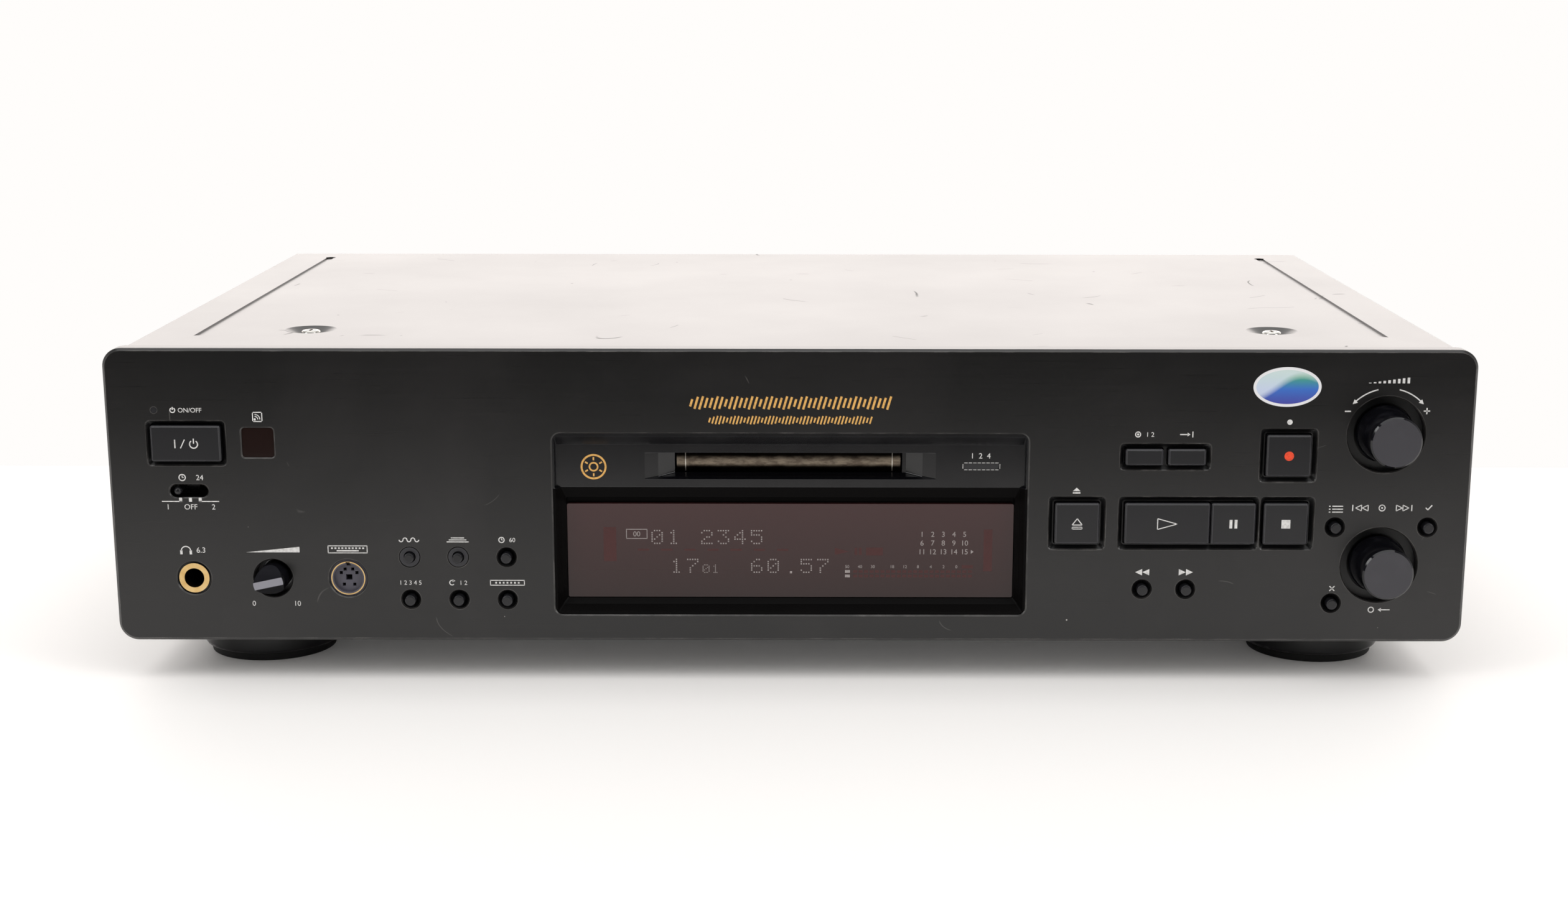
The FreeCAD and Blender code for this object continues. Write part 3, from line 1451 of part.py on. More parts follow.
def optical_pickup():
    """Sled with its lens, a follower on the lead screw and the post of the head's arm."""
    half = pickup_width / 2
    y0, y1 = pickup_start - pickup_length / 2, pickup_start + pickup_length / 2
    body = block(mouth_x - half, mouth_x + half, y0, y1, rod_z - pickup_height / 2,
                 rod_z + pickup_height / 2)
    low, high = rod_z - ear_thick / 2, rod_z + ear_thick / 2
    ears = [block(mouth_x - rod_spread - ear_reach, mouth_x - half, y0, y1, low, high),
            block(mouth_x + half, mouth_x + screw_x + lead_radius + nut_wall, y0, y1,
                  low, high)]
    top = rod_z + pickup_height / 2
    lens = post(mouth_x, pickup_start, lens_radius, top - lens_root, top + lens_height)
    ear = arm_width / 2
    tail = block(mouth_x - ear, mouth_x + ear, y1, arm_post_y, rod_z, rod_z + arm_tail_thick)
    upright = block(mouth_x - ear, mouth_x + ear, arm_post_y - arm_post_thick, arm_post_y,
                    rod_z, arm_z - arm_post_gap)
    hinge_ears = []
    for i in (-1, 1):
        middle = mouth_x + i * (ear - arm_ear_thick / 2)
        hinge_ears.append(block(middle - arm_ear_thick / 2, middle + arm_ear_thick / 2,
                                arm_post_y - arm_post_thick - arm_ear_thick, arm_post_y,
                                arm_z - arm_ear_low, arm_z + arm_ear_high))
    sled = join([body, lens, tail, upright] + ears + hinge_ears)
    bores = [rod(mouth_x + i * rod_spread, rod_z, rod_radius + running_fit, y0 - overcut,
                 y1 + overcut) for i in (-1, 1)]
    bores.append(rod(mouth_x + screw_x, rod_z, lead_radius + running_fit, y0 - overcut,
                     y1 + overcut))
    bores.append(bar(arm_hinge_y(), arm_z, arm_pin_radius + running_fit,
                     mouth_x - arm_width, mouth_x + arm_width))
    return sled.cut(bores)


def arm_hinge_y():
    """Depth of the hinge of the recording head's arm."""
    return arm_post_y - arm_post_thick / 2 - arm_hinge_shift


def recording_head():
    """Spring arm over the disc with the magnetic head at its tip and its hinge pin."""
    tip_y = pickup_start - head_size / 2
    inside = arm_width / 2 - arm_ear_thick - slide_gap
    arm = block(mouth_x - inside, mouth_x + inside, tip_y, arm_hinge_y(),
                arm_z - arm_thick / 2, arm_z + arm_thick / 2)
    head = block(mouth_x - inside, mouth_x + inside, tip_y, tip_y + head_size,
                 arm_z - arm_thick / 2 - head_height, arm_z)
    knuckle = bar(arm_hinge_y(), arm_z, arm_pin_radius + knuckle_wall, mouth_x - inside,
                  mouth_x + inside)
    pin = bar(arm_hinge_y(), arm_z, arm_pin_radius, mouth_x - arm_width / 2,
              mouth_x + arm_width / 2)
    return join([arm, head, knuckle, pin])


def lead_screw():
    """Screw that drives the sled, with its drive wheel at the rear."""
    end = rod_front + rod_length + lead_rear
    shaft = rod(mouth_x + screw_x, rod_z, lead_radius, rod_front - lead_front, end)
    wheel = rod(mouth_x + screw_x, rod_z, wheel_radius, end - wheel_thick, end)
    return join([shaft, wheel])


def save(name, shape):
    """Write one piece, moved to the deck's origin on the floor under its middle."""
    placed = shape.copy()
    placed.translate(Vector(0, -centre_y, foot_height))
    placed.exportStep("parts/" + name + ".step")
    solids = placed.Solids
    print(name, len(solids), "solids", all(solid.isValid() for solid in solids))


def make_all():
    """Build and write every piece of the deck."""
    save("front_panel", front_panel())
    save("button_carrier", carrier())
    for name, values in square_buttons().items():
        save(name, square_button(*values[:4]))
    for name, (x, z) in round_keys().items():
        save(name, round_key(x, z, key_radius))
    for name, (x, z) in flush_keys().items():
        save(name, round_key(x, z, flush_key_radius))
    save("key_rings", key_rings())
    save("timer_lever", timer_lever())
    save("phones_level_knob", level_knob())
    save("record_level_knob", turning_knob(record_knob_z, record_knob_proud))
    save("record_level_shaft", record_shaft())
    save("select_knob", turning_knob(select_knob_z, select_knob_proud))
    save("select_shaft", select_shaft())
    save("encoders", encoders())
    save("slot_bezel", slot_bezel())
    save("slot_door", slot_door())
    save("display_window", display_window())
    save("display_tube", display_tube())
    save("lamps", lamps())
    save("remote_window", remote_window())
    save("headphone_jack", headphone_jack())
    save("keyboard_socket", keyboard_socket())
    save("front_boards", front_boards())
    save("push_switches", push_switches())
    save("base_pan", base_pan())
    save("cross_beam", cross_beam())
    save("rear_panel", rear_panel())
    save("top_cover", top_cover())
    save("screws", screws())
    save("feet", feet())
    save("foot_pads", foot_pads())
    save("transformer", Part.makeCompound([transformer_core(), transformer_coil()]))
    save("main_board", Part.makeCompound([main_board()] + capacitors()))
    save("phono_jacks", phono_jacks())
    save("optical_jacks", optical_jacks())
    save("mains_inlet", mains_inlet())
    save("drive_frame", drive_frame())
    save("disc_holder", disc_holder())
    save("cam_slider", cam_slider())
    save("turntable", turntable())
    save("spindle_motor", spindle_motor())
    save("guide_rods", guide_rods())
    save("optical_pickup", optical_pickup())
    save("recording_head", recording_head())
    save("lead_screw", lead_screw())


make_all()
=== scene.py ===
"""Looks of the minidisc deck: finishes, printing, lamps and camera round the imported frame."""

import logging
import math
from dataclasses import dataclass, field
from enum import Enum

import bmesh
import bpy
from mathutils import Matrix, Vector


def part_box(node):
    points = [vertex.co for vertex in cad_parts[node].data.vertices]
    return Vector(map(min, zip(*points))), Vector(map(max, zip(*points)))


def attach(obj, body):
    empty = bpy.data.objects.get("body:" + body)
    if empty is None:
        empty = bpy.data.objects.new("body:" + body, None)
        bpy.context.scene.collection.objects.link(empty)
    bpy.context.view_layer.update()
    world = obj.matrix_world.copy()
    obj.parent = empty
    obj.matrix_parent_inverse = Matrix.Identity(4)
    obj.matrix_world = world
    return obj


LOG = logging.getLogger("deck")
IMAGE_WIDTH = 2520
MM = 0.001
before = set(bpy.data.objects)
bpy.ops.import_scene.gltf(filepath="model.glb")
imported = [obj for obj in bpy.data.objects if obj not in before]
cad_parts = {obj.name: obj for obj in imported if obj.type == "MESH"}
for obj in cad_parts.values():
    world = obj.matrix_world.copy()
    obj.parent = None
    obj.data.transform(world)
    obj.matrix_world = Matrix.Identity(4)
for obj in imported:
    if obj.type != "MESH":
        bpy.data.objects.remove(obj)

PANEL_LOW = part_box("front_panel")[0]
FACE_Y = PANEL_LOW.y
BASE_Z = PANEL_LOW.z
SOCKET_Z = BASE_Z + 20.6 * MM

Tree = bpy.types.NodeTree
Node = bpy.types.Node
Point = tuple[float, float]
Link = tuple[Node, str]


class Print(Enum):
    """Inks that the deck is printed with."""

    PALE = "pale_ink"
    GOLD = "gold_ink"
    RED = "red_ink"
    SEGMENT = "display_segments"
    GHOST = "display_ghosts"


def linear(hex_colour: str) -> tuple[float, float, float, float]:
    """Turn an sRGB hex colour into linear values.

    Args:
        hex_colour: Six hex digits, such as "1c1a1a".

    Returns:
        Linear red, green, blue and an alpha of 1.
    """
    parts = [int(hex_colour[i:i + 2], 16) / 255 for i in (0, 2, 4)]
    values = [c / 12.92 if c <= 0.04045 else ((c + 0.055) / 1.055) ** 2.4 for c in parts]
    return values[0], values[1], values[2], 1.0


def per_metre(size_mm: float) -> float:
    """Pattern scale, in repeats to the metre, of a pattern whose repeat is size_mm long."""
    return 1.0 / (size_mm * MM)


def add_node(tree: Tree, kind: str, inputs: dict | None = None,
             settings: dict | None = None) -> Node:
    """Add a shader node to a tree.

    Args:
        tree: Node tree that gets the node.
        kind: Node type without its first words, such as "TexNoise".
        inputs: Input socket to its fixed value, or to the link that feeds it.
        settings: Properties of the node itself.

    Returns:
        The new node.
    """
    node = tree.nodes.new("ShaderNode" + kind)
    for name, value in (settings or {}).items():
        setattr(node, name, value)
    for socket, value in (inputs or {}).items():
        if isinstance(value, tuple) and isinstance(value[0], Node):
            tree.links.new(value[0].outputs[value[1]], node.inputs[socket])
        else:
            node.inputs[socket].default_value = value
    return node


@dataclass(frozen=True)
class Finish:
    """A surface finish; subclasses add their own nodes to the common start."""

    name: str
    colour: str
    roughness: float = 0.4
    metallic: float = 0.0
    ior: float = 1.5
    specular: float = 0.5

    def material(self) -> bpy.types.Material:
        """Build the material, or return it if it exists.

        Returns:
            The finish as a Blender material.
        """
        found = bpy.data.materials.get(self.name)
        if found is not None:
            return found
        material = bpy.data.materials.new(self.name)
        material.use_nodes = True
        tree = material.node_tree
        shader = tree.nodes["Principled BSDF"]
        shader.inputs["Base Color"].default_value = linear(self.colour)
        shader.inputs["Roughness"].default_value = self.roughness
        shader.inputs["Metallic"].default_value = self.metallic
        shader.inputs["Specular IOR Level"].default_value = self.specular
        if self.metallic < 0.5:
            shader.inputs["IOR"].default_value = self.ior
        place = add_node(tree, "TexCoord")
        self.dress(tree, shader, (place, "Object"))
        return material

    def dress(self, tree: Tree, shader: Node, place: Link) -> None:
        """Add the finish's own nodes.

        Args:
            tree: Node tree of the material.
            shader: Its main shader.
            place: Its object coordinates.
        """

    def feed(self, tree: Tree, source: Link, node: Node, socket: str) -> None:
        """Link an output to an input."""
        tree.links.new(source[0].outputs[source[1]], node.inputs[socket])

    def stretched(self, tree: Tree, place: Link, size_mm: tuple[float, float, float]) -> Node:
        """Coordinates whose unit is size_mm long on each axis."""
        scale = [per_metre(size) for size in size_mm]
        return add_node(tree, "Mapping", {"Vector": place, "Scale": scale})

    def spread(self, tree: Tree, source: Link, low: float, high: float) -> Link:
        """Map a pattern from 0 and 1 to low and high."""
        node = add_node(tree, "MapRange", {"Value": source, "To Min": low, "To Max": high})
        return node, "Result"

    def rise(self, tree: Tree, place: Link, low_z: float, high_z: float) -> Link:
        """Share of the way up from one height to another, in metres."""
        at = add_node(tree, "SeparateXYZ", {"Vector": place})
        share = add_node(tree, "MapRange", {"Value": (at, "Z"), "From Min": low_z,
                                            "From Max": high_z})
        return share, "Result"

    def bump(self, tree: Tree, shader: Node, height: Link, depth_mm: float,
             strength: float) -> None:
        """Let a pattern raise the surface by depth_mm."""
        node = add_node(tree, "Bump", {"Height": height, "Distance": depth_mm * MM,
                                       "Strength": strength})
        self.feed(tree, (node, "Normal"), shader, "Normal")

    def edge_mask(self, tree: Tree, width_mm: float) -> Link:
        """Mask that is 1 on edges and 0 on faces; width_mm is the edge's width."""
        rounded = add_node(tree, "Bevel", {"Radius": width_mm * MM}, {"samples": 4})
        true = add_node(tree, "NewGeometry")
        dot = add_node(tree, "VectorMath", {0: (rounded, "Normal"), 1: (true, "True Normal")},
                       {"operation": "DOT_PRODUCT"})
        mask = add_node(tree, "MapRange", {"Value": (dot, "Value"), "From Min": 0.995,
                                           "From Max": 0.9})
        return mask, "Result"

    def hairlines(self, tree: Tree, place: Link, bend_mm: float, share: float) -> Link:
        """Mask of short curved scratches.

        Args:
            tree: Node tree of the material.
            place: Its object coordinates.
            bend_mm: Size of the bends that they follow.
            share: Level of a second pattern above which they show, so higher is fewer.

        Returns:
            A mask that is 1 in a scratch.
        """
        field_ = add_node(tree, "TexNoise", {"Vector": place, "Scale": per_metre(bend_mm),
                                             "Detail": 0.0})
        off = add_node(tree, "Math", {0: (field_, "Fac"), 1: 0.5}, {"operation": "SUBTRACT"})
        near = add_node(tree, "Math", {0: (off, "Value")}, {"operation": "ABSOLUTE"})
        line = add_node(tree, "MapRange", {"Value": (near, "Value"), "From Min": 0.005,
                                           "From Max": 0.001})
        gate = add_node(tree, "TexNoise", {"Vector": place, "Scale": per_metre(bend_mm * 0.6),
                                           "Detail": 1.0})
        shown = add_node(tree, "MapRange", {"Value": (gate, "Fac"), "From Min": share,
                                            "From Max": share + 0.03})
        both = add_node(tree, "Math", {0: (line, "Result"), 1: (shown, "Result")},
                        {"operation": "MULTIPLY"})
        return both, "Value"

    def specks(self, tree: Tree, place: Link, pitch_mm: float, edge: float, core: float,
               rarity: float) -> Link:
        """Mask of small round specks, about one to a cell.

        Args:
            tree: Node tree of the material.
            place: Its object coordinates.
            pitch_mm: Size of a cell.
            edge: Radius at which a speck starts, against the cell.
            core: Radius inside which it is full.
            rarity: Share of the cells that have none.

        Returns:
            A mask that is 1 in a speck.
        """
        cell = add_node(tree, "TexVoronoi", {"Vector": place, "Scale": per_metre(pitch_mm)})
        speck = add_node(tree, "MapRange", {"Value": (cell, "Distance"), "From Min": edge,
                                            "From Max": core})
        pick = add_node(tree, "SeparateColor", {"Color": (cell, "Color")})
        rare = add_node(tree, "Math", {0: (pick, "Red"), 1: rarity}, {"operation": "GREATER_THAN"})
        both = add_node(tree, "Math", {0: (speck, "Result"), 1: (rare, "Value")},
                        {"operation": "MULTIPLY"})
        return both, "Value"

    def blend(self, tree: Tree, share: Link, first: str | Link, second: str | Link) -> Link:
        """Mix two colours, given as hex or as links, by a mask."""
        inputs = {"Factor": share}
        for socket, colour in ((6, first), (7, second)):
            inputs[socket] = linear(colour) if isinstance(colour, str) else colour
        node = add_node(tree, "Mix", inputs, {"data_type": "RGBA"})
        return node, "Result"


@dataclass(frozen=True)
class BrushedAnodised(Finish):
    """Aluminium plate brushed from side to side and anodised black.

    The brushing draws the reflections into upright streaks; dust and wiping leave paler
    clouds, bare metal shows in small chips, and the paler edges are partly worn bare metal
    and partly a painted highlight.
    """

    grain_mm: float = 0.22
    cloud_mm: float = 70.0
    chip_mm: float = 9.0

    def dress(self, tree: Tree, shader: Node, place: Link) -> None:
        """Add brushing, wiped clouds, chips, hairlines and edges of wear and painted highlight."""
        along = self.stretched(tree, place, (38.0, self.grain_mm, self.grain_mm))
        grain = add_node(tree, "TexNoise", {"Vector": (along, "Vector"), "Scale": 1.0,
                                            "Detail": 3.0, "Roughness": 0.6})
        clouds = add_node(tree, "TexNoise", {"Vector": place, "Scale": per_metre(self.cloud_mm),
                                             "Detail": 4.0, "Roughness": 0.6, "Distortion": 0.6})
        wiped = add_node(tree, "MapRange", {"Value": (clouds, "Fac"), "From Min": 0.48,
                                            "From Max": 0.78})
        ground = self.blend(tree, (wiped, "Result"), self.colour, "191717")
        chips = self.specks(tree, place, self.chip_mm, 0.034, 0.02, 0.8)
        hairs = self.hairlines(tree, place, 22.0, 0.69)
        marks = add_node(tree, "Math", {0: hairs, 2: chips, 1: 0.12},
                         {"operation": "MULTIPLY_ADD"})
        # Paler edges: partly worn bare metal, partly a painted highlight of the lit chamfer and
        # edges.
        edge = self.edge_mask(tree, 0.35)
        patchy = add_node(tree, "TexNoise", {"Vector": place, "Scale": per_metre(6.0),
                                             "Detail": 4.0})
        worn = add_node(tree, "MapRange", {"Value": (patchy, "Fac"), "From Min": 0.45,
                                           "From Max": 0.75, "To Min": 0.12, "To Max": 0.6})
        wear = add_node(tree, "Math", {0: edge, 1: (worn, "Result")}, {"operation": "MULTIPLY"})
        bare = add_node(tree, "Math", {0: (wear, "Value"), 1: (marks, "Value")},
                        {"operation": "MAXIMUM", "use_clamp": True})
        shown = self.blend(tree, (bare, "Value"), ground, "b0aca8")
        self.feed(tree, shown, shader, "Base Color")
        rough = self.spread(tree, (grain, "Fac"), self.roughness - 0.06, self.roughness + 0.06)
        self.feed(tree, rough, shader, "Roughness")
        self.bump(tree, shader, (grain, "Fac"), 0.012, 0.3)


@dataclass(frozen=True)
class BakedPaint(Finish):
    """Steel sheet with baked satin black paint.

    A fine orange-peel softens the reflections, which are strong at a low angle; short
    hairlines and small rubbed specks show that things have stood on it.
    """

    peel_mm: float = 1.1
    speck_mm: float = 12.0

    def dress(self, tree: Tree, shader: Node, place: Link) -> None:
        """Add orange-peel, clouds, hairlines and specks."""
        peel = add_node(tree, "TexNoise", {"Vector": place, "Scale": per_metre(self.peel_mm),
                                           "Detail": 2.0})
        clouds = add_node(tree, "TexNoise", {"Vector": place, "Scale": per_metre(90.0),
                                             "Detail": 5.0, "Roughness": 0.6})
        specks = self.specks(tree, place, self.speck_mm, 0.05, 0.03, 0.86)
        hairs = self.hairlines(tree, place, 34.0, 0.62)
        marks = add_node(tree, "Math", {0: hairs, 1: specks}, {"operation": "MAXIMUM"})
        tone = self.blend(tree, (marks, "Value"), self.colour, "343130")
        self.feed(tree, tone, shader, "Base Color")
        rough = self.spread(tree, (clouds, "Fac"), self.roughness - 0.04, self.roughness + 0.04)
        marked = add_node(tree, "Math", {0: (marks, "Value"), 2: rough, 1: 0.3},
                          {"operation": "MULTIPLY_ADD", "use_clamp": True})
        self.feed(tree, (marked, "Value"), shader, "Roughness")
        self.bump(tree, shader, (peel, "Fac"), 0.008, 0.3)


@dataclass(frozen=True)
class MouldedPlastic(Finish):
    """Injection-moulded ABS with a fine sparked grain.

    The grain keeps highlights soft, and the edges look paler, partly where fingers polish
    them and partly as a painted highlight.
    """

    grain_mm: float = 0.35
    grain_depth_mm: float = 0.006
    edge_wear_and_highlight_colour: str = "5a5a5e"
    edge_mm: float = 0.25

    def dress(self, tree: Tree, shader: Node, place: Link) -> None:
        """Add grain, a cloudy sheen and paler edges of polish and painted highlight."""
        grain = add_node(tree, "TexNoise", {"Vector": place, "Scale": per_metre(self.grain_mm),
                                            "Detail": 2.0})
        clouds = add_node(tree, "TexNoise", {"Vector": place, "Scale": per_metre(14.0),
                                             "Detail": 3.0})
        # Paler edges: partly finger polish, partly a painted highlight of light along every edge.
        edge = self.edge_mask(tree, self.edge_mm)
        patchy = self.spread(tree, (clouds, "Fac"), 0.15, 0.95)
        wear = add_node(tree, "Math", {0: edge, 1: patchy}, {"operation": "MULTIPLY"})
        tone = self.blend(tree, (wear, "Value"), self.colour, self.edge_wear_and_highlight_colour)
        self.feed(tree, tone, shader, "Base Color")
        rough = self.spread(tree, (clouds, "Fac"), self.roughness - 0.06, self.roughness + 0.06)
        self.feed(tree, rough, shader, "Roughness")
        self.bump(tree, shader, (grain, "Fac"), self.grain_depth_mm, 0.5)


@dataclass(frozen=True)
class TurnedKnob(Finish):
    """Moulded knob: polished round the side, satin on the flat face.

    The side mirrors the room as dark glass does; the face scatters light and looks greyer.
    """

    face_colour: str = "3b3a3f"
    face_roughness: float = 0.42

    def dress(self, tree: Tree, shader: Node, place: Link) -> None:
        """Tell the face from the side by the surface's own direction."""
        split = add_node(tree, "SeparateXYZ", {"Vector": (place[0], "Normal")})
        face = add_node(tree, "MapRange", {"Value": (split, "Y"), "From Min": -0.93,
                                           "From Max": -0.99})
        grain = add_node(tree, "TexNoise", {"Vector": place, "Scale": per_metre(0.4),
                                            "Detail": 2.0})
        dusty = add_node(tree, "TexNoise", {"Vector": place, "Scale": per_metre(5.0),
                                            "Detail": 5.0})
        dust = add_node(tree, "MapRange", {"Value": (dusty, "Fac"), "From Min": 0.5,
                                           "From Max": 0.9, "To Max": 0.2})
        base = self.blend(tree, (face, "Result"), self.colour, self.face_colour)
        tone = self.blend(tree, (dust, "Result"), base, "55545a")
        self.feed(tree, tone, shader, "Base Color")
        rough = self.spread(tree, (face, "Result"), self.roughness, self.face_roughness)
        self.feed(tree, rough, shader, "Roughness")
        self.bump(tree, shader, (grain, "Fac"), 0.004, 0.4)


@dataclass(frozen=True)
class GiltSocket(Finish):
    """Socket in black moulding whose front ring is gold plated brass.

    The ring is a warm mirror; the moulding and the contacts behind it stay dark.
    """

    centre_x: float = 0.0
    centre_z: float = 0.0
    inner: float = 0.0
    outer: float = 0.0048
    rear_y: float = -0.12
    gilt: str = "f2d8a2"

    def dress(self, tree: Tree, shader: Node, place: Link) -> None:
        """Gild the ring between two radii, in front of one depth."""
        at = add_node(tree, "SeparateXYZ", {"Vector": place})
        flat = add_node(tree, "CombineXYZ", {"X": (at, "X"), "Z": (at, "Z")})
        apart = add_node(tree, "VectorMath", {0: (flat, "Vector"),
                                              1: (self.centre_x, 0.0, self.centre_z)},
                         {"operation": "DISTANCE"})
        middle, reach = (self.outer + self.inner) / 2, (self.outer - self.inner) / 2
        ring = add_node(tree, "Math", {0: (apart, "Value"), 1: middle, 2: reach},
                        {"operation": "COMPARE"})
        near = add_node(tree, "Math", {0: (at, "Y"), 1: self.rear_y}, {"operation": "LESS_THAN"})
        gilded = add_node(tree, "Math", {0: (ring, "Value"), 1: (near, "Value")},
                          {"operation": "MULTIPLY"})
        tarnish = add_node(tree, "TexNoise", {"Vector": place, "Scale": per_metre(2.5),
                                              "Detail": 3.0})
        gold = self.blend(tree, (tarnish, "Fac"), self.gilt, "c99c50")
        tone = self.blend(tree, (gilded, "Value"), self.colour, gold)
        self.feed(tree, tone, shader, "Base Color")
        self.feed(tree, (gilded, "Value"), shader, "Metallic")
        rough = self.spread(tree, (gilded, "Value"), self.roughness, 0.22)
        self.feed(tree, rough, shader, "Roughness")


@dataclass(frozen=True)
class RolledMetal(Finish):
    """Bare rolled or plated sheet with fine lines along one axis and faint stains."""

    line_mm: tuple[float, float, float] = (0.25, 20.0, 0.25)
    stain: str = "6b6660"

    def dress(self, tree: Tree, shader: Node, place: Link) -> None:
        """Add rolling lines and stains."""
        along = self.stretched(tree, place, self.line_mm)
        lines = add_node(tree, "TexNoise", {"Vector": (along, "Vector"), "Scale": 1.0,
                                            "Detail": 3.0})
        stains = add_node(tree, "TexNoise", {"Vector": place, "Scale": per_metre(9.0),
                                             "Detail": 4.0})
        spots = add_node(tree, "MapRange", {"Value": (stains, "Fac"), "From Min": 0.5,
                                            "From Max": 0.8})
        tone = self.blend(tree, (spots, "Result"), self.colour, self.stain)
        self.feed(tree, tone, shader, "Base Color")
        rough = self.spread(tree, (lines, "Fac"), self.roughness - 0.08, self.roughness + 0.1)
        self.feed(tree, rough, shader, "Roughness")
        self.bump(tree, shader, (lines, "Fac"), 0.01, 0.4)


@dataclass(frozen=True)
class SmokedAcrylic(Finish):
    """Cast acrylic sheet, smoked brown and polished, over an unlit display.

    The unlit phosphor gives a dark red-brown, a little warmer towards the top, and the
    polished face mirrors the table.
    """

    upper: str = "371c1c"
    low_z: float = 0.0
    high_z: float = 1.0

    def dress(self, tree: Tree, shader: Node, place: Link) -> None:
        """Run the brown from the lower to the upper edge and leave faint wiping marks."""
        rise = self.rise(tree, place, self.low_z, self.high_z)
        shade = self.blend(tree, rise, self.colour, self.upper)
        self.feed(tree, shade, shader, "Base Color")
        marks = add_node(tree, "TexNoise", {"Vector": place, "Scale": per_metre(30.0),
                                            "Detail": 5.0, "Distortion": 1.0})
        rough = self.spread(tree, (marks, "Fac"), self.roughness, self.roughness + 0.06)
        self.feed(tree, rough, shader, "Roughness")


@dataclass(frozen=True)
class BezelMoulding(MouldedPlastic):
    """Moulded ABS, satin round the disc slot, with painted shade round the display.

    The satin part picks up the table; below one height a near black colour with almost no
    reflection is painted shade of the dark recess round the display.
    """

    matt: str = "0b0a0a"
    painted_shade_specular: float = 0.03
    painted_shade_below: float = 0.0

    def dress(self, tree: Tree, shader: Node, place: Link) -> None:
        """Add the painted shade below one height to the moulding's own nodes."""
        super().dress(tree, shader, place)
        at = add_node(tree, "SeparateXYZ", {"Vector": place})
        # Painted shade: below this height the colour goes near black and the reflection nearly off.
        satin = add_node(tree, "Math", {0: (at, "Z"), 1: self.painted_shade_below},
                         {"operation": "GREATER_THAN"})
        gloss = self.spread(tree, (satin, "Value"), self.painted_shade_specular, self.specular)
        self.feed(tree, gloss, shader, "Specular IOR Level")
        moulded = shader.inputs["Base Color"].links[0].from_node
        tone = self.blend(tree, (satin, "Value"), self.matt, (moulded, "Result"))
        self.feed(tree, tone, shader, "Base Color")


@dataclass(frozen=True)
class DisplayGlass(Finish):
    """Flat glass tube: the unlit phosphor and its grid give an even dark red-brown."""

    phosphor: str = "3b2122"

    def dress(self, tree: Tree, shader: Node, place: Link) -> None:
        """Let the brown drift a little from place to place."""
        clouds = add_node(tree, "TexNoise", {"Vector": place, "Scale": per_metre(35.0),
                                             "Detail": 2.0})
        shade = self.blend(tree, (clouds, "Fac"), self.colour, self.phosphor)
        self.feed(tree, shade, shader, "Base Color")


@dataclass(frozen=True)
class BurnishedFlap(Finish):
    """Steel flap, burnished to dark bronze and mottled by wear from disc cases.

    One warm band of painted highlight runs along it between two bands of painted shade, and
    two painted highlight lines run down it where its ends are folded.
    """

    highlight_band_z: float = 0.0
    highlight_band_mm: float = 1.5
    shadow: str = "1a1512"
    highlight_lines_x: tuple[float, float] = (-0.0334, 0.0324)
    line_mm: float = 0.3
    mottle_mm: float = 1.6

    def dress(self, tree: Tree, shader: Node, place: Link) -> None:
        """Add the mottling, the painted highlight band with painted shade and the two painted
        lines.
        """
        wide = self.stretched(tree, place, (self.mottle_mm * 3, self.mottle_mm, self.mottle_mm))
        mottle = add_node(tree, "TexNoise", {"Vector": (wide, "Vector"), "Scale": 1.0,
                                             "Detail": 5.0, "Roughness": 0.65})
        worn = add_node(tree, "MapRange", {"Value": (mottle, "Fac"), "From Min": 0.4,
                                           "From Max": 0.7})
        bronze = self.blend(tree, (worn, "Result"), self.colour, "a39684")
        # Painted highlight: a warm band at one height; away from it the flap is painted shade.
        at = add_node(tree, "SeparateXYZ", {"Vector": place})
        apart = add_node(tree, "Math", {0: (at, "Z"), 1: self.highlight_band_z}, {"operation": "SUBTRACT"})
        away = add_node(tree, "Math", {0: (apart, "Value")}, {"operation": "ABSOLUTE"})
        painted_highlight_band = add_node(tree, "MapRange", {"Value": (away, "Value"),
                                            "From Min": self.highlight_band_mm * 1.4 * MM,
                                            "From Max": self.highlight_band_mm * 0.5 * MM},
                         {"interpolation_type": "SMOOTHSTEP"})
        tone = self.blend(tree, (painted_highlight_band, "Result"), self.shadow, bronze)
        # Painted highlights: two bright lines where the folded ends catch the light.
        for x in self.highlight_lines_x:
            off = add_node(tree, "Math", {0: (at, "X"), 1: x, 2: self.line_mm / 2 * MM},
                           {"operation": "COMPARE"})
            tone = self.blend(tree, (off, "Value"), tone, "d8d2c8")
        self.feed(tree, tone, shader, "Base Color")
        rough = self.spread(tree, (worn, "Result"), self.roughness, self.roughness + 0.25)
        self.feed(tree, rough, shader, "Roughness")
        self.bump(tree, shader, (mottle, "Fac"), 0.02, 0.4)


@dataclass(frozen=True)
class CircuitLaminate(Finish):
    """Lacquered fibre-glass board; tracks show as slightly paler green lines."""

    track_mm: float = 2.4

    def dress(self, tree: Tree, shader: Node, place: Link) -> None:
        """Add the tracks."""
        cells = add_node(tree, "TexVoronoi", {"Vector": place, "Scale": per_metre(self.track_mm)},
                         {"distance": "MANHATTAN", "feature": "DISTANCE_TO_EDGE"})
        track = add_node(tree, "MapRange", {"Value": (cells, "Distance"), "From Min": 0.12,
                                            "From Max": 0.06})
        tone = self.blend(tree, (track, "Result"), self.colour, "3f7a4c")
        self.feed(tree, tone, shader, "Base Color")
        self.bump(tree, shader, (track, "Result"), 0.03, 0.5)


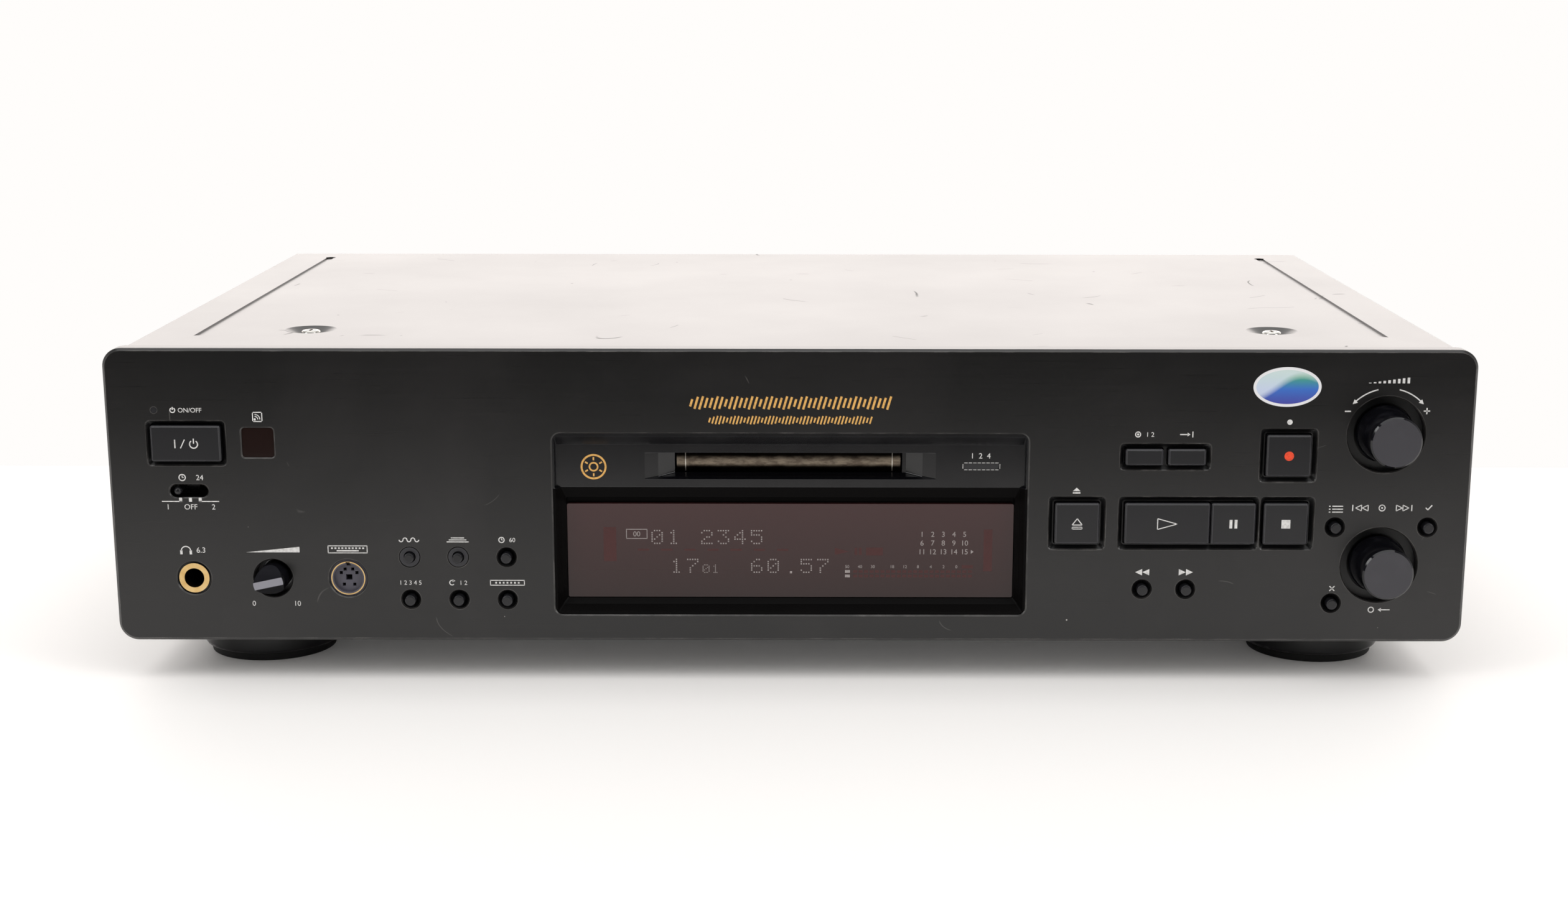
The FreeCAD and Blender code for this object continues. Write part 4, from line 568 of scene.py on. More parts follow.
@dataclass(frozen=True)
class ScreenInk(Finish):
    """Screen-printed ink: slightly uneven in density, so the panel shows through thin spots."""

    thin: str = "8c8a88"

    def dress(self, tree: Tree, shader: Node, place: Link) -> None:
        """Vary the density."""
        density = add_node(tree, "TexNoise", {"Vector": place, "Scale": per_metre(0.8),
                                              "Detail": 3.0})
        spots = add_node(tree, "MapRange", {"Value": (density, "Fac"), "From Min": 0.45,
                                            "From Max": 0.8})
        tone = self.blend(tree, (spots, "Result"), self.colour, self.thin)
        self.feed(tree, tone, shader, "Base Color")


@dataclass(frozen=True)
class BadgeFilm(Finish):
    """Printed vinyl badge: a green to violet sky with pale wavy bands, glossy laminate."""

    low_z: float = 0.0
    high_z: float = 1.0

    def dress(self, tree: Tree, shader: Node, place: Link) -> None:
        """Run the colours from the lower to the upper edge and lay bands over them."""
        rise = self.rise(tree, place, self.low_z, self.high_z)
        ramp = add_node(tree, "ValToRGB", {"Fac": rise})
        stops = [(0.0, "4b3f9a"), (0.45, "3d6fc4"), (0.75, "4aa27e"), (1.0, "7fb24e")]
        bar = ramp.color_ramp
        while len(bar.elements) < len(stops):
            bar.elements.new(0.5)
        for element, (position, colour) in zip(bar.elements, stops):
            element.position = position
            element.color = linear(colour)
        wave = add_node(tree, "TexWave", {"Vector": place, "Scale": per_metre(4.5) / 20,
                                          "Distortion": 5.0, "Detail Scale": 1.2},
                        {"bands_direction": "Z"})
        band = add_node(tree, "MapRange", {"Value": (wave, "Fac"), "From Min": 0.86,
                                           "From Max": 0.96, "To Max": 0.75})
        tone = self.blend(tree, (band, "Result"), (ramp, "Color"), "dfe8f2")
        self.feed(tree, tone, shader, "Base Color")
        shader.inputs["Coat Weight"].default_value = 0.4


class Palette:
    """Every finish of the deck, named for what it is made of."""

    def __init__(self) -> None:
        """Build the finishes that need places from the frame."""
        phones = centre_of("headphone_jack")
        keyboard = centre_of("keyboard_socket")
        self.panel = BrushedAnodised("brushed_black_anodised_aluminium", "090808", 0.3,
                                     ior=1.6)
        self.cover = BakedPaint("baked_satin_black_paint", "1b1918", 0.3, ior=1.9)
        self.rear = BakedPaint("baked_black_paint_rear", "161616", 0.45)
        self.carrier = MouldedPlastic("moulded_black_abs", "060607", 0.4,
                                      edge_wear_and_highlight_colour="1c1c1f")
        # The buttons' pale edges are mostly a painted highlight of their lit edges.
        self.button = MouldedPlastic("moulded_charcoal_abs_buttons", "17171a", 0.3,
                                     edge_wear_and_highlight_colour="77767c", edge_mm=0.3)
        self.ring = MouldedPlastic("moulded_grey_abs_rings", "303034", 0.38)
        self.knob = TurnedKnob("moulded_knob_polished_side", "0c0c10", 0.09)
        self.level_knob = TurnedKnob("metallic_painted_knob", "24242a", 0.14, 0.7,
                                     face_colour="8e8e96", face_roughness=0.2)
        # Bezel: near black below 49.8 mm is painted shade; its paler edges are partly a painted
        # highlight.
        self.bezel = BezelMoulding("moulded_satin_abs_bezel", "08080b", 0.2, ior=1.55,
                                   edge_wear_and_highlight_colour="3c3c40", edge_mm=0.2,
                                   painted_shade_below=BASE_Z + 49.8 * MM)
        # The flap's warm band at this height is a painted highlight.
        self.door = BurnishedFlap("burnished_bronze_steel", "5e544a", 0.28, 1.0,
                                  highlight_band_z=BASE_Z + 57.4 * MM)
        window_low, window_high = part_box("display_window")
        self.window = SmokedAcrylic("smoked_acrylic", "271413", 0.05, low_z=window_low.z,
                                    high_z=window_high.z)
        self.tube = DisplayGlass("display_tube_glass", "4a2626", 0.3)
        self.infrared = Finish("infrared_acrylic", "1f1412", 0.08)
        self.lens = MouldedPlastic("clear_grey_lens", "2c2c2e", 0.15)
        self.phones = GiltSocket("gold_plated_socket_ring", "0b0b0b", 0.35,
                                 centre_x=phones.x, centre_z=SOCKET_Z,
                                 rear_y=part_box("headphone_jack")[0].y + 4 * MM)
        self.keyboard = GiltSocket("gold_plated_shell_grey_insert", "4e4c56", 0.45,
                                   centre_x=keyboard.x, centre_z=SOCKET_Z,
                                   inner=5.08 * MM, outer=5.42 * MM,
                                   rear_y=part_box("keyboard_socket")[0].y + 4 * MM)
        self.zinc = RolledMetal("zinc_plated_sheet_steel", "b4b6b8", 0.35, 1.0)
        self.nickel = RolledMetal("nickel_plated_steel", "c4c2bd", 0.22, 1.0)
        self.foot = MouldedPlastic("moulded_glossy_abs_feet", "08080a", 0.14,
                                   edge_wear_and_highlight_colour="202022")
        self.rubber = MouldedPlastic("moulded_rubber", "141414", 0.75, grain_mm=0.8)
        self.laminate = CircuitLaminate("lacquered_fibreglass", "1d4a2a", 0.35)
        self.core = RolledMetal("varnished_laminations", "4a4846", 0.5, 0.8,
                                line_mm=(0.5, 0.5, 20.0))
        self.socket = MouldedPlastic("moulded_nylon_sockets", "121213", 0.5)
        self.white = MouldedPlastic("moulded_white_acetal", "d8d7d2", 0.4,
                                    edge_wear_and_highlight_colour="f0f0ec")
        self.cast = RolledMetal("die_cast_zinc", "9c9c9c", 0.45, 1.0)
        self.inks = {
            Print.PALE: ScreenInk("pale_grey_screen_ink", "dcdbd9", 0.5, thin="b4b2b0"),
            Print.GOLD: ScreenInk("gold_screen_ink", "e2ae5e", 0.4, thin="b88a48"),
            Print.RED: ScreenInk("red_screen_ink", "ee4a24", 0.4, thin="c93c1c"),
            Print.SEGMENT: ScreenInk("unlit_pale_segments", "9c9492", 0.4, thin="847a78"),
            Print.GHOST: ScreenInk("unlit_red_segments", "47201f", 0.4, thin="3f1e1d"),
        }


def centre_of(node: str) -> Vector:
    """Middle of a CAD node's box, in metres."""
    low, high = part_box(node)
    return (low + high) / 2


class InkPlate:
    """Collects flat printed shapes, in millimetres, and makes one thin closed mesh."""

    def __init__(self, name: str, ink: Print, body: str, face_y: float,
                 thickness_mm: float = 0.04) -> None:
        """Start an empty print.

        Args:
            name: Name of the piece.
            ink: Ink that it is printed with.
            body: CAD body that it rides on.
            face_y: Depth of the surface under it, in metres.
            thickness_mm: Thickness of the layer.
        """
        self.name = name
        self.ink = ink
        self.body = body
        self.face_y = face_y
        self.thickness = thickness_mm * MM
        self.shapes: list[list[Point]] = []
        self.origin: Point = (0.0, 0.0)

    def at(self, x: float, z: float) -> "InkPlate":
        """Put the next shapes round a point of the panel, z from its lower edge."""
        self.origin = (x, z)
        return self

    def polygon(self, points: list[Point]) -> "InkPlate":
        """Add a filled shape whose corners go round once."""
        x, z = self.origin
        self.shapes.append([(x + px, z + pz) for px, pz in points])
        return self

    def rect(self, x: float, z: float, width: float, height: float) -> "InkPlate":
        """Add a filled rectangle by its centre and size."""
        w, h = width / 2, height / 2
        return self.polygon([(x - w, z - h), (x + w, z - h), (x + w, z + h), (x - w, z + h)])

    def stroke(self, x0: float, z0: float, x1: float, z1: float,
               width: float = 0.35) -> "InkPlate":
        """Add a straight line between two points."""
        length = math.hypot(x1 - x0, z1 - z0)
        nx, nz = -(z1 - z0) / length * width / 2, (x1 - x0) / length * width / 2
        return self.polygon([(x0 + nx, z0 + nz), (x0 - nx, z0 - nz),
                             (x1 - nx, z1 - nz), (x1 + nx, z1 + nz)])

    def arc(self, x: float, z: float, radius: float, start: float = 0.0, end: float = 360.0,
            width: float = 0.35, steps: int = 24) -> "InkPlate":
        """Add a curved line round a centre, from one angle to another in degrees."""
        for i in range(steps):
            a = math.radians(start + (end - start) * i / steps)
            b = math.radians(start + (end - start) * (i + 1) / steps)
            inner, outer = radius - width / 2, radius + width / 2
            self.polygon([(x + inner * math.cos(a), z + inner * math.sin(a)),
                          (x + outer * math.cos(a), z + outer * math.sin(a)),
                          (x + outer * math.cos(b), z + outer * math.sin(b)),
                          (x + inner * math.cos(b), z + inner * math.sin(b))])
        return self

    def dot(self, x: float, z: float, radius: float, steps: int = 20) -> "InkPlate":
        """Add a filled circle."""
        turn = 2 * math.pi / steps
        return self.polygon([(x + radius * math.cos(i * turn), z + radius * math.sin(i * turn))
                             for i in range(steps)])

    def triangle(self, x: float, z: float, width: float, height: float,
                 towards: int = 1) -> "InkPlate":
        """Add a filled triangle that points right, or left if towards is -1."""
        w, h = towards * width / 2, height / 2
        return self.polygon([(x - w, z - h), (x + w, z), (x - w, z + h)])

    def outline(self, points: list[Point], width: float) -> "InkPlate":
        """Add the closed outline of a shape by straight lines."""
        for (x0, z0), (x1, z1) in zip(points, points[1:] + points[:1]):
            self.stroke(x0, z0, x1, z1, width)
        return self

    def number(self, text: str, x: float, z: float, height: float) -> "InkPlate":
        """Add plain numerals, centred on a point."""
        curve = bpy.data.curves.new("numerals", "FONT")
        curve.body = text
        curve.align_x = "CENTER"
        curve.align_y = "CENTER"
        curve.size = height * 1.38
        maker = bpy.data.objects.new("numerals", curve)
        mesh = bpy.data.meshes.new_from_object(maker)
        corners = [vertex.co for vertex in mesh.vertices]
        middle = (max(c.y for c in corners) + min(c.y for c in corners)) / 2
        for face in mesh.polygons:
            points = [(x + corners[i].x, z + corners[i].y - middle) for i in face.vertices]
            self.polygon(points)
        bpy.data.objects.remove(maker)
        bpy.data.meshes.remove(mesh)
        bpy.data.curves.remove(curve)
        return self

    def finish(self, palette: Palette, slot: str) -> bpy.types.Object:
        """Make the mesh, dress it and let it ride.

        Args:
            palette: Finishes of the deck.
            slot: Not used.

        Returns:
            The printed piece.
        """
        build = bmesh.new()
        for shape in self.shapes:
            corners = [build.verts.new((x * MM, self.face_y, BASE_Z + z * MM))
                       for x, z in shape]
            build.faces.new(corners)
        bmesh.ops.remove_doubles(build, verts=build.verts, dist=0.002 * MM)
        raised = bmesh.ops.extrude_face_region(build, geom=build.faces[:], use_keep_orig=True)
        moved = [item for item in raised["geom"] if isinstance(item, bmesh.types.BMVert)]
        bmesh.ops.translate(build, verts=moved, vec=(0, -self.thickness, 0))
        bmesh.ops.recalc_face_normals(build, faces=build.faces)
        mesh = bpy.data.meshes.new(self.name)
        build.to_mesh(mesh)
        build.free()
        piece = bpy.data.objects.new(self.name, mesh)
        bpy.context.scene.collection.objects.link(piece)
        mesh.materials.append(palette.inks[self.ink].material())
        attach(piece, self.body)
        LOG.info("printed %s", self.name)
        return piece


def dress_piece(piece: bpy.types.Object, finish: Finish) -> None:
    """Give a piece one finish in place of those that it has."""
    piece.data.materials.clear()
    piece.data.materials.append(finish.material())


def dress_node(node: str, finish: Finish) -> None:
    """Give a CAD node its finish."""
    dress_piece(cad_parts[node], finish)


@dataclass
class FrontPanel:
    """Brushed panel with its printed signs and the badge.

    Places are millimetres from the panel's middle and from its lower edge.
    """

    palette: Palette
    line: float = 0.32
    badge_x: float = 155.5
    badge_z: float = 82.9
    badge_width: float = 21.3
    badge_height: float = 12.6
    badge_border: float = 0.9
    key_columns: tuple[float, float, float] = (-121.1, -105.65, -90.2)
    key_label_rows: tuple[float, float] = (19.2, 33.25)
    knob_x: float = 187.3

    def build(self) -> None:
        """Dress the panel and print it."""
        dress_node("front_panel", self.palette.panel)
        dress_node("button_carrier", self.palette.carrier)
        dress_node("key_rings", self.palette.ring)
        dress_node("remote_window", self.palette.infrared)
        dress_node("lamps", self.palette.lens)
        self.print_left()
        self.print_keys()
        self.print_right()
        self.print_knobs()
        self.print_rules()
        self.badge()

    def plate(self, name: str, ink: Print = Print.PALE) -> InkPlate:
        """Start a print on the panel's face."""
        return InkPlate(name, ink, "deck", FACE_Y)

    def print_left(self) -> None:
        """Signs of the standby lamp, the receiver, the timer and the sockets."""
        ink = self.plate("left_signs")
        ink.at(-193.7, 75.0).arc(0, 0, 0.75, 120, 420, self.line).stroke(0, 0.1, 0, 1.0)
        ink.at(-188.3, 75.0).number("ON/OFF", 0, 0, 1.5)
        ink.at(-167.2, 72.9)
        for edge in (-1, 1):
            ink.rect(0, edge * 1.45, 3.2, 0.3).rect(edge * 1.45, 0, 0.3, 3.2)
        ink.dot(-0.8, -0.8, 0.35).arc(-0.8, -0.8, 0.95, 0, 90, 0.28, 8)
        ink.arc(-0.8, -0.8, 1.6, 0, 90, 0.28, 8)
        ink.at(-188.4, 53.4).number("24", 2.0, 0, 1.75).at(-191.9, 53.4)
        ink.arc(0, 0, 1.0, 0, 360, self.line).stroke(0, 0, 0, 0.65, 0.25)
        ink.stroke(0, 0, 0.5, 0, 0.25)
        ink.at(-189.7, 46.2).rect(0, 0, 0.95, 1.3)
        for side in (-1, 1):
            ink.rect(side * 5.85, -0.55, 6.4, 0.3).rect(side * 3.1, 0, 0.95, 1.3)
        ink.at(-189.7, 43.9).number("OFF", 0, 0, 1.75).number("1", -7.2, 0, 1.75)
        ink.number("2", 7.2, 0, 1.75)
        ink.at(-189.7, 29.7).arc(-2.4, -0.2, 1.5, 0, 180, self.line, 14)
        for side in (-1, 1):
            ink.rect(side * 1.5 - 2.4, -0.65, 0.75, 1.3)
        ink.number("6.3", 2.4, 0.1, 1.8)
        ink.at(-164.5, 29.9).polygon([(-8.5, -0.8), (8.5, -0.8), (8.5, 1.0)])
        ink.at(-171.3, 12.3).number("0", 0, 0, 1.7)
        ink.at(-157.5, 12.3).number("10", 0, 0, 1.7)
        ink.at(-140.7, 30.1)
        for edge in (-1, 1):
            ink.rect(0, edge * 1.15, 12.6, 0.26).rect(edge * 6.2, 0, 0.26, 2.3)
        for i in range(10):
            ink.rect(-4.95 + i * 1.1, 0.4, 0.6, 0.5)
        ink.rect(0, -0.45, 7.0, 0.42)
        ink.finish(self.palette, "brushed_panel")

    def print_keys(self) -> None:
        """Signs over the six small keys and the two search keys."""
        ink = self.plate("key_signs")
        low, high = self.key_label_rows
        left, middle, right = self.key_columns
        ink.at(left, high)
        for i in range(5):
            ink.arc(-2.5 + i * 1.25, 0, 0.62, 180 * ((i + 1) % 2), 180 + 180 * ((i + 1) % 2),
                    self.line, 10)
        ink.at(middle, high)
        for i in range(3):
            ink.rect(0, -0.65 + i * 0.65, 7.0 - 1.4 * i, 0.3)
        ink.at(right, high).number("60", 1.9, 0, 1.45).at(right - 1.5, high)
        ink.arc(0, 0, 0.85, 0, 360, self.line)
        ink.stroke(0, 0, 0, 0.55, 0.24).stroke(0, 0, 0.42, 0, 0.24)
        ink.at(left, low).number("1 2 3 4 5", 0, 0, 1.45)
        ink.at(middle - 2.2, low).arc(0, 0, 0.75, 40, 320, self.line)
        ink.triangle(0.62, 0.62, 0.9, 0.9).number("1 2", 3.6, 0, 1.45)
        ink.at(right, low)
        for edge in (-1, 1):
            ink.rect(0, edge * 0.8, 11.0, 0.26).rect(edge * 5.4, 0, 0.26, 1.7)
        for i in range(7):
            ink.rect(-3.6 + i * 1.2, 0, 0.55, 0.55)
        for x, way in ((112.1, -1), (126.0, 1)):
            ink.at(x, 23.0).triangle(-1.15, 0, 2.2, 2.07, way).triangle(1.15, 0, 2.2, 2.07, way)
        ink.finish(self.palette, "brushed_panel")

    def print_right(self) -> None:
        """Signs over the mode keys, the eject and the record button."""
        ink = self.plate("button_signs")
        ink.at(111.5, 67.7).arc(-2.2, 0, 0.8, 0, 360, self.line).dot(-2.2, 0, 0.35)
        ink.number("1 2", 1.6, 0, 1.5)
        ink.at(124.9, 67.7).stroke(-2.4, 0, 0.2, 0, self.line)
        ink.triangle(0.4, 0, 0.9, 1.2).rect(1.6, 0, 0.3, 1.9)
        ink.at(90.5, 49.6).polygon([(-1.2, -0.2), (1.2, -0.2), (0, 0.95)])
        ink.rect(0, -0.75, 2.4, 0.42)
        ink.at(156.8, 71.7).dot(0, 0, 0.85)
        ink.finish(self.palette, "brushed_panel")

    def print_knobs(self) -> None:
        """Signs round the two large knobs and their keys."""
        ink = self.plate("knob_signs")
        ink.at(self.knob_x, 85.0)
        for i in range(9):
            ink.rect(-6.0 + i * 1.5, -0.9 + 0.1 * (i + 1), 0.8, 0.2 * (i + 1))
        radius = 14.75
        for side in (-1, 1):
            mid = 90 - side * 28
            ink.at(self.knob_x, 67.7).arc(0, 0, radius, mid - 15, mid + 15, 0.38, 20)
            tip = math.radians(90 - side * 43)
            cx, cz = radius * math.cos(tip), radius * math.sin(tip)
            along = (side * math.sin(tip), -side * math.cos(tip))
            across = (math.cos(tip), math.sin(tip))
            head = [(cx + along[0] * 1.5, cz + along[1] * 1.5)]
            head += [(cx + across[0] * s * 0.75, cz + across[1] * s * 0.75) for s in (1, -1)]
            ink.polygon(head)
        ink.at(174.8, 75.2).rect(0, 0, 1.9, 0.4)
        ink.at(199.55, 75.3).rect(0, 0, 2.0, 0.4).rect(0, 0, 0.4, 2.0)
        ink.at(172.75, 43.7)
        for i in range(3):
            ink.rect(0.5, -0.95 + i * 0.95, 3.4, 0.34).rect(-2.0, -0.95 + i * 0.95, 0.5, 0.34)
        for x, way in ((180.4, -1), (194.3, 1)):
            ink.at(x, 44.1)
            for i in (-1, 1):
                self.hollow_triangle(ink, i * 1.05 - way * 0.5, way)
            ink.rect(way * 2.4, 0, 0.34, 2.0)
        ink.at(self.knob_x, 44.1).arc(0, 0, 0.95, 0, 360, self.line).dot(0, 0, 0.3)
        ink.at(202.0, 44.2).stroke(-0.9, 0.0, -0.2, -0.7, 0.36).stroke(-0.25, -0.75, 1.1, 0.8, 0.36)
        ink.at(172.8, 17.7).stroke(-0.8, -0.8, 0.8, 0.8, 0.34).stroke(-0.8, 0.8, 0.8, -0.8, 0.34)
        ink.at(187.4, 10.7).arc(-1.8, 0, 0.85, 0, 360, self.line)
        ink.stroke(4.2, 0, 1.2, 0, self.line).triangle(0.9, 0, 1.0, 1.3, -1)
        ink.finish(self.palette, "brushed_panel")

    def hollow_triangle(self, ink: InkPlate, x: float, way: int) -> None:
        """Add the outline of a triangle 2 mm high."""
        w, h = way * 0.95, 0.95
        ink.outline([(x - w, -h), (x + w, 0.0), (x - w, h)], 0.28)

    def print_rules(self) -> None:
        """Two gold bands of slanted bars above the disc slot, like the trace of a sound."""
        ink = self.plate("gold_bands", Print.GOLD)
        for z, length, tall, pitch, swing in ((77.6, 62.0, 4.2, 1.55, 0.9),
                                              (72.1, 50.6, 2.7, 1.1, 0.63)):
            ink.at(0, z)
            count = round(length / pitch)
            for i in range(count + 1):
                x = (i - count / 2) * pitch
                half = tall / 2 * (0.55 + 0.45 * abs(math.sin(i * swing)))
                lean = half * 0.3
                ink.stroke(x - lean, -half, x + lean, half, pitch * 0.45)
        ink.finish(self.palette, "brushed_panel")

    def badge(self) -> None:
        """Oval badge with a pale border at the upper right."""
        low_z = BASE_Z + (self.badge_z - self.badge_height / 2) * MM
        film = BadgeFilm("printed_vinyl_badge", "4a6fb0", 0.25, low_z=low_z,
                         high_z=low_z + self.badge_height * MM)
        border = Finish("white_vinyl_border", "e4e4e6", 0.35)
        for name, inset, depth, finish in (("badge_border", 0.0, 0.08, border),
                                           ("badge_film", self.badge_border, 0.11, film)):
            ink = InkPlate(name, Print.PALE, "deck", FACE_Y, depth)
            ink.at(self.badge_x, self.badge_z)
            half_w = self.badge_width / 2 - inset
            half_h = self.badge_height / 2 - inset
            steps = 72
            ink.polygon([(half_w * math.cos(2 * math.pi * i / steps),
                          half_h * math.sin(2 * math.pi * i / steps)) for i in range(steps)])
            dress_piece(ink.finish(self.palette, "brushed_panel"), finish)


@dataclass
class Controls:
    """Buttons, keys, knobs and sockets with their own signs."""

    palette: Palette
    squares: tuple[str, ...] = ("power_button", "eject_button", "play_button", "pause_button",
                                "stop_button", "record_button", "record_mode_button",
                                "input_button")
    keys: tuple[str, ...] = ("time_button", "play_mode_button", "repeat_button",
                             "display_button", "rewind_button", "fast_forward_button",
                             "menu_button", "yes_button", "clear_button", "filter_button",
                             "edit_button")

    def build(self) -> None:
        """Dress every control."""
        for node in self.squares + self.keys + ("timer_lever",):
            dress_node(node, self.palette.button)
        for node in ("record_level_knob", "select_knob"):
            dress_node(node, self.palette.knob)
        dress_node("phones_level_knob", self.palette.level_knob)
        for node in ("record_level_shaft", "select_shaft"):
            dress_node(node, self.palette.nickel)
        dress_node("headphone_jack", self.palette.phones)
        dress_node("keyboard_socket", self.palette.keyboard)
        self.power_sign()
        self.transport_signs()

    def sign(self, name: str, node: str, ink: Print = Print.PALE) -> InkPlate:
        """Start a print on a button's face, centred on it."""
        middle = centre_of(node)
        plate = InkPlate(name, ink, node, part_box(node)[0].y)
        return plate.at(middle.x / MM, (middle.z - BASE_Z) / MM)

    def power_sign(self) -> None:
        """Line, slash and standby circle of the power button."""
        ink = self.sign("power_sign", "power_button")
        ink.rect(-3.3, 0, 0.36, 2.7).stroke(-1.6, -1.4, -0.2, 1.4, 0.3)
        ink.arc(2.6, -0.1, 1.25, 125, 415, 0.36).rect(2.6, 0.9, 0.36, 1.6)
        ink.finish(self.palette, "button_plastic")

    def transport_signs(self) -> None:
        """Signs of the tape-style buttons and the record dot."""
        ink = self.sign("eject_sign", "eject_button")
        ink.outline([(-1.6, -0.35), (1.6, -0.35), (0.0, 1.7)], 0.3)
        for edge in (-1, 1):
            ink.rect(0, -1.35 + edge * 0.3, 3.4, 0.24).rect(edge * 1.58, -1.35, 0.24, 0.8)
        ink.finish(self.palette, "button_plastic")
        ink = self.sign("play_sign", "play_button")
        ink.outline([(-3.1, -1.75), (3.1, 0.0), (-3.1, 1.75)], 0.28)
        ink.finish(self.palette, "button_plastic")
        ink = self.sign("pause_sign", "pause_button")
        for side in (-1, 1):
            ink.rect(side * 0.8, 0, 0.9, 2.8)
        ink.finish(self.palette, "button_plastic")
        ink = self.sign("stop_sign", "stop_button")
        ink.rect(0, 0, 2.8, 2.8)
        ink.finish(self.palette, "button_plastic")
        ink = self.sign("record_dot", "record_button", Print.RED)
        ink.dot(0, 0, 1.5, 40)
        ink.finish(self.palette, "button_plastic")


@dataclass
class CentreBlock:
    """Disc slot, its flap and the display behind the smoked window."""

    palette: Palette
    face_depth: float = 3.2
    dot_pitch: tuple[float, float] = (0.8, 0.7)
    dot_size: float = 0.42
    sign_pitch: float = 5.3
    sight_drop: float = 1.1
    glyphs: dict = field(default_factory=lambda: {
        "0": "01110 10001 10011 10101 11001 10001 01110",
        "1": "00100 01100 00100 00100 00100 00100 01110",
        "2": "01110 10001 00001 00110 01000 10000 11111",
        "3": "11111 00010 00100 00010 00001 10001 01110",
        "4": "00010 00110 01010 10010 11111 00010 00010",
        "5": "11111 10000 11110 00001 00001 10001 01110",
        "6": "00110 01000 10000 11110 10001 10001 01110",
        "7": "11111 00001 00010 00100 01000 01000 01000",
        "8": "01110 10001 10001 01110 10001 10001 01110",
        ":": "00000 00100 00100 00000 00100 00100 00000",
        " ": "00000 00000 00000 00000 00000 00000 00000",
    })

    def build(self) -> None:
        """Dress the block and print the display."""
        dress_node("slot_bezel", self.palette.bezel)
        dress_node("slot_door", self.palette.door)
        dress_node("display_window", self.palette.window)
        dress_node("display_tube", self.palette.tube)
        self.emblem()
        self.read_out()
        self.ghosts()

    def emblem(self) -> None:
        """Gold ring on the slot's face, numerals over the lamp and the lamp's outline."""
        face_y = FACE_Y + self.face_depth * MM
        ink = InkPlate("gold_ring_sign", Print.GOLD, "deck", face_y)
        ink.at(-62.3, 56.4).arc(0, 0, 3.8, 0, 360, 0.6, 48).arc(0, 0, 1.3, 0, 360, 0.5, 24)
        for turn in range(30, 360, 60):
            way = (math.cos(math.radians(turn)), math.sin(math.radians(turn)))
            ink.stroke(2.1 * way[0], 2.1 * way[1], 3.1 * way[0], 3.1 * way[1], 0.5)
        ink.finish(self.palette, "bezel_plastic")
        ink = InkPlate("lamp_signs", Print.PALE, "deck", face_y)
        ink.at(60.2, 60.1).number("1", -2.6, 0, 1.8).number("2", 0, 0, 1.8)
        ink.number("4", 2.6, 0, 1.8).at(60.5, 56.7)
        for i in range(8):
            for edge in (-1, 1):
                ink.rect(-4.9 + i * 1.4, edge * 1.12, 1.05, 0.16)
        for edge in (-1, 1):
            ink.rect(edge * 5.85, 0, 0.16, 1.5)
        ink.finish(self.palette, "bezel_plastic")

    def rows(self, ink: InkPlate, text: str, places: list[float], z: float,
             share: float = 1.0) -> None:
        """Print dot-matrix numerals.

        Args:
            ink: Print that gets them.
            text: The numerals.
            places: Left edge of each.
            z: Height of the upper row of dots.
            share: Size, against the full size.
        """
        across, down = self.dot_pitch[0] * share, self.dot_pitch[1] * share
        for sign, x in zip(text, places):
            for row, bits in enumerate(self.glyphs[sign].split()):
                for column, bit in enumerate(bits):
                    if bit == "1":
                        ink.rect(x + column * across, z - row * down,
                                 self.dot_size * share, self.dot_size * share)

    def read_out(self) -> None:
        """Numerals, calendar and level scale, as they show through the window."""
        face_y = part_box("display_window")[0].y
        ink = InkPlate("display_numerals", Print.SEGMENT, "deck", face_y, 0.025)
        ink.at(0, -self.sight_drop)
        pitch = self.sign_pitch
        self.rows(ink, "012345", [-44.2 + i * pitch for i in (0, 1, 3, 4, 5, 6)], 36.3)
        self.rows(ink, "176057", [-38.1, -32.9, -12.4, -7.1, 3.5, 8.8], 26.8)
        self.rows(ink, "01", [-28.0, -25.0], 25.0, 0.6)
        ink.rect(0.2, 22.6, 0.7, 0.7)
        for edge in (-1, 1):
            ink.rect(-49.1, 35.2 + edge * 1.5, 6.8, 0.22).rect(-49.1 + edge * 3.3, 35.2, 0.22, 3.0)
        ink.number("00", -49.1, 35.2, 1.7)
        for i in range(15):
            ink.number(str(i + 1), 42.1 + (i % 5) * 3.4, 35.2 - (i // 5) * 2.88, 1.75)
        ink.triangle(58.2, 29.45, 0.9, 1.3)
        steps = ("50", "40", "30", "18", "12", "8", "4", "2", "0")
        places = (18.2, 22.3, 26.4, 32.6, 36.7, 40.9, 45.0, 49.1, 53.2)
        for text, x in zip(steps, places):
            ink.number(text, x, 24.5, 1.0)
        for row in (22.9, 21.4):
            ink.rect(18.3, row, 1.6, 0.9)
        ink.finish(self.palette, "display_glass")

    def ghosts(self) -> None:
        """Unlit red segments of the display."""
        face_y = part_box("display_window")[0].y
        ink = InkPlate("display_ghosts", Print.GHOST, "deck", face_y, 0.015)
        ink.at(0, -self.sight_drop)
        for i in range(22):
            for row in (22.9, 21.4):
                ink.rect(20.8 + i * 1.75, row, 1.3, 0.9)
        for x, z, width, height in ((-57.7, 31.8, 4.1, 11.2), (63.2, 29.9, 2.8, 13.8),
                                    (21.0, 29.5, 0.9, 2.4), (22.4, 29.5, 0.9, 2.4),
                                    (26.9, 29.5, 5.4, 2.6), (56.7, 24.5, 3.6, 1.1)):
            ink.rect(x, z, width, height)
        ink.polygon([(14.2, 28.3), (18.8, 29.5), (14.2, 30.7)])
        for i in range(7):
            ink.rect(-47.0 + i * self.sign_pitch * 1.4, 30.0, 3.6, 0.6)
        ink.finish(self.palette, "display_glass")


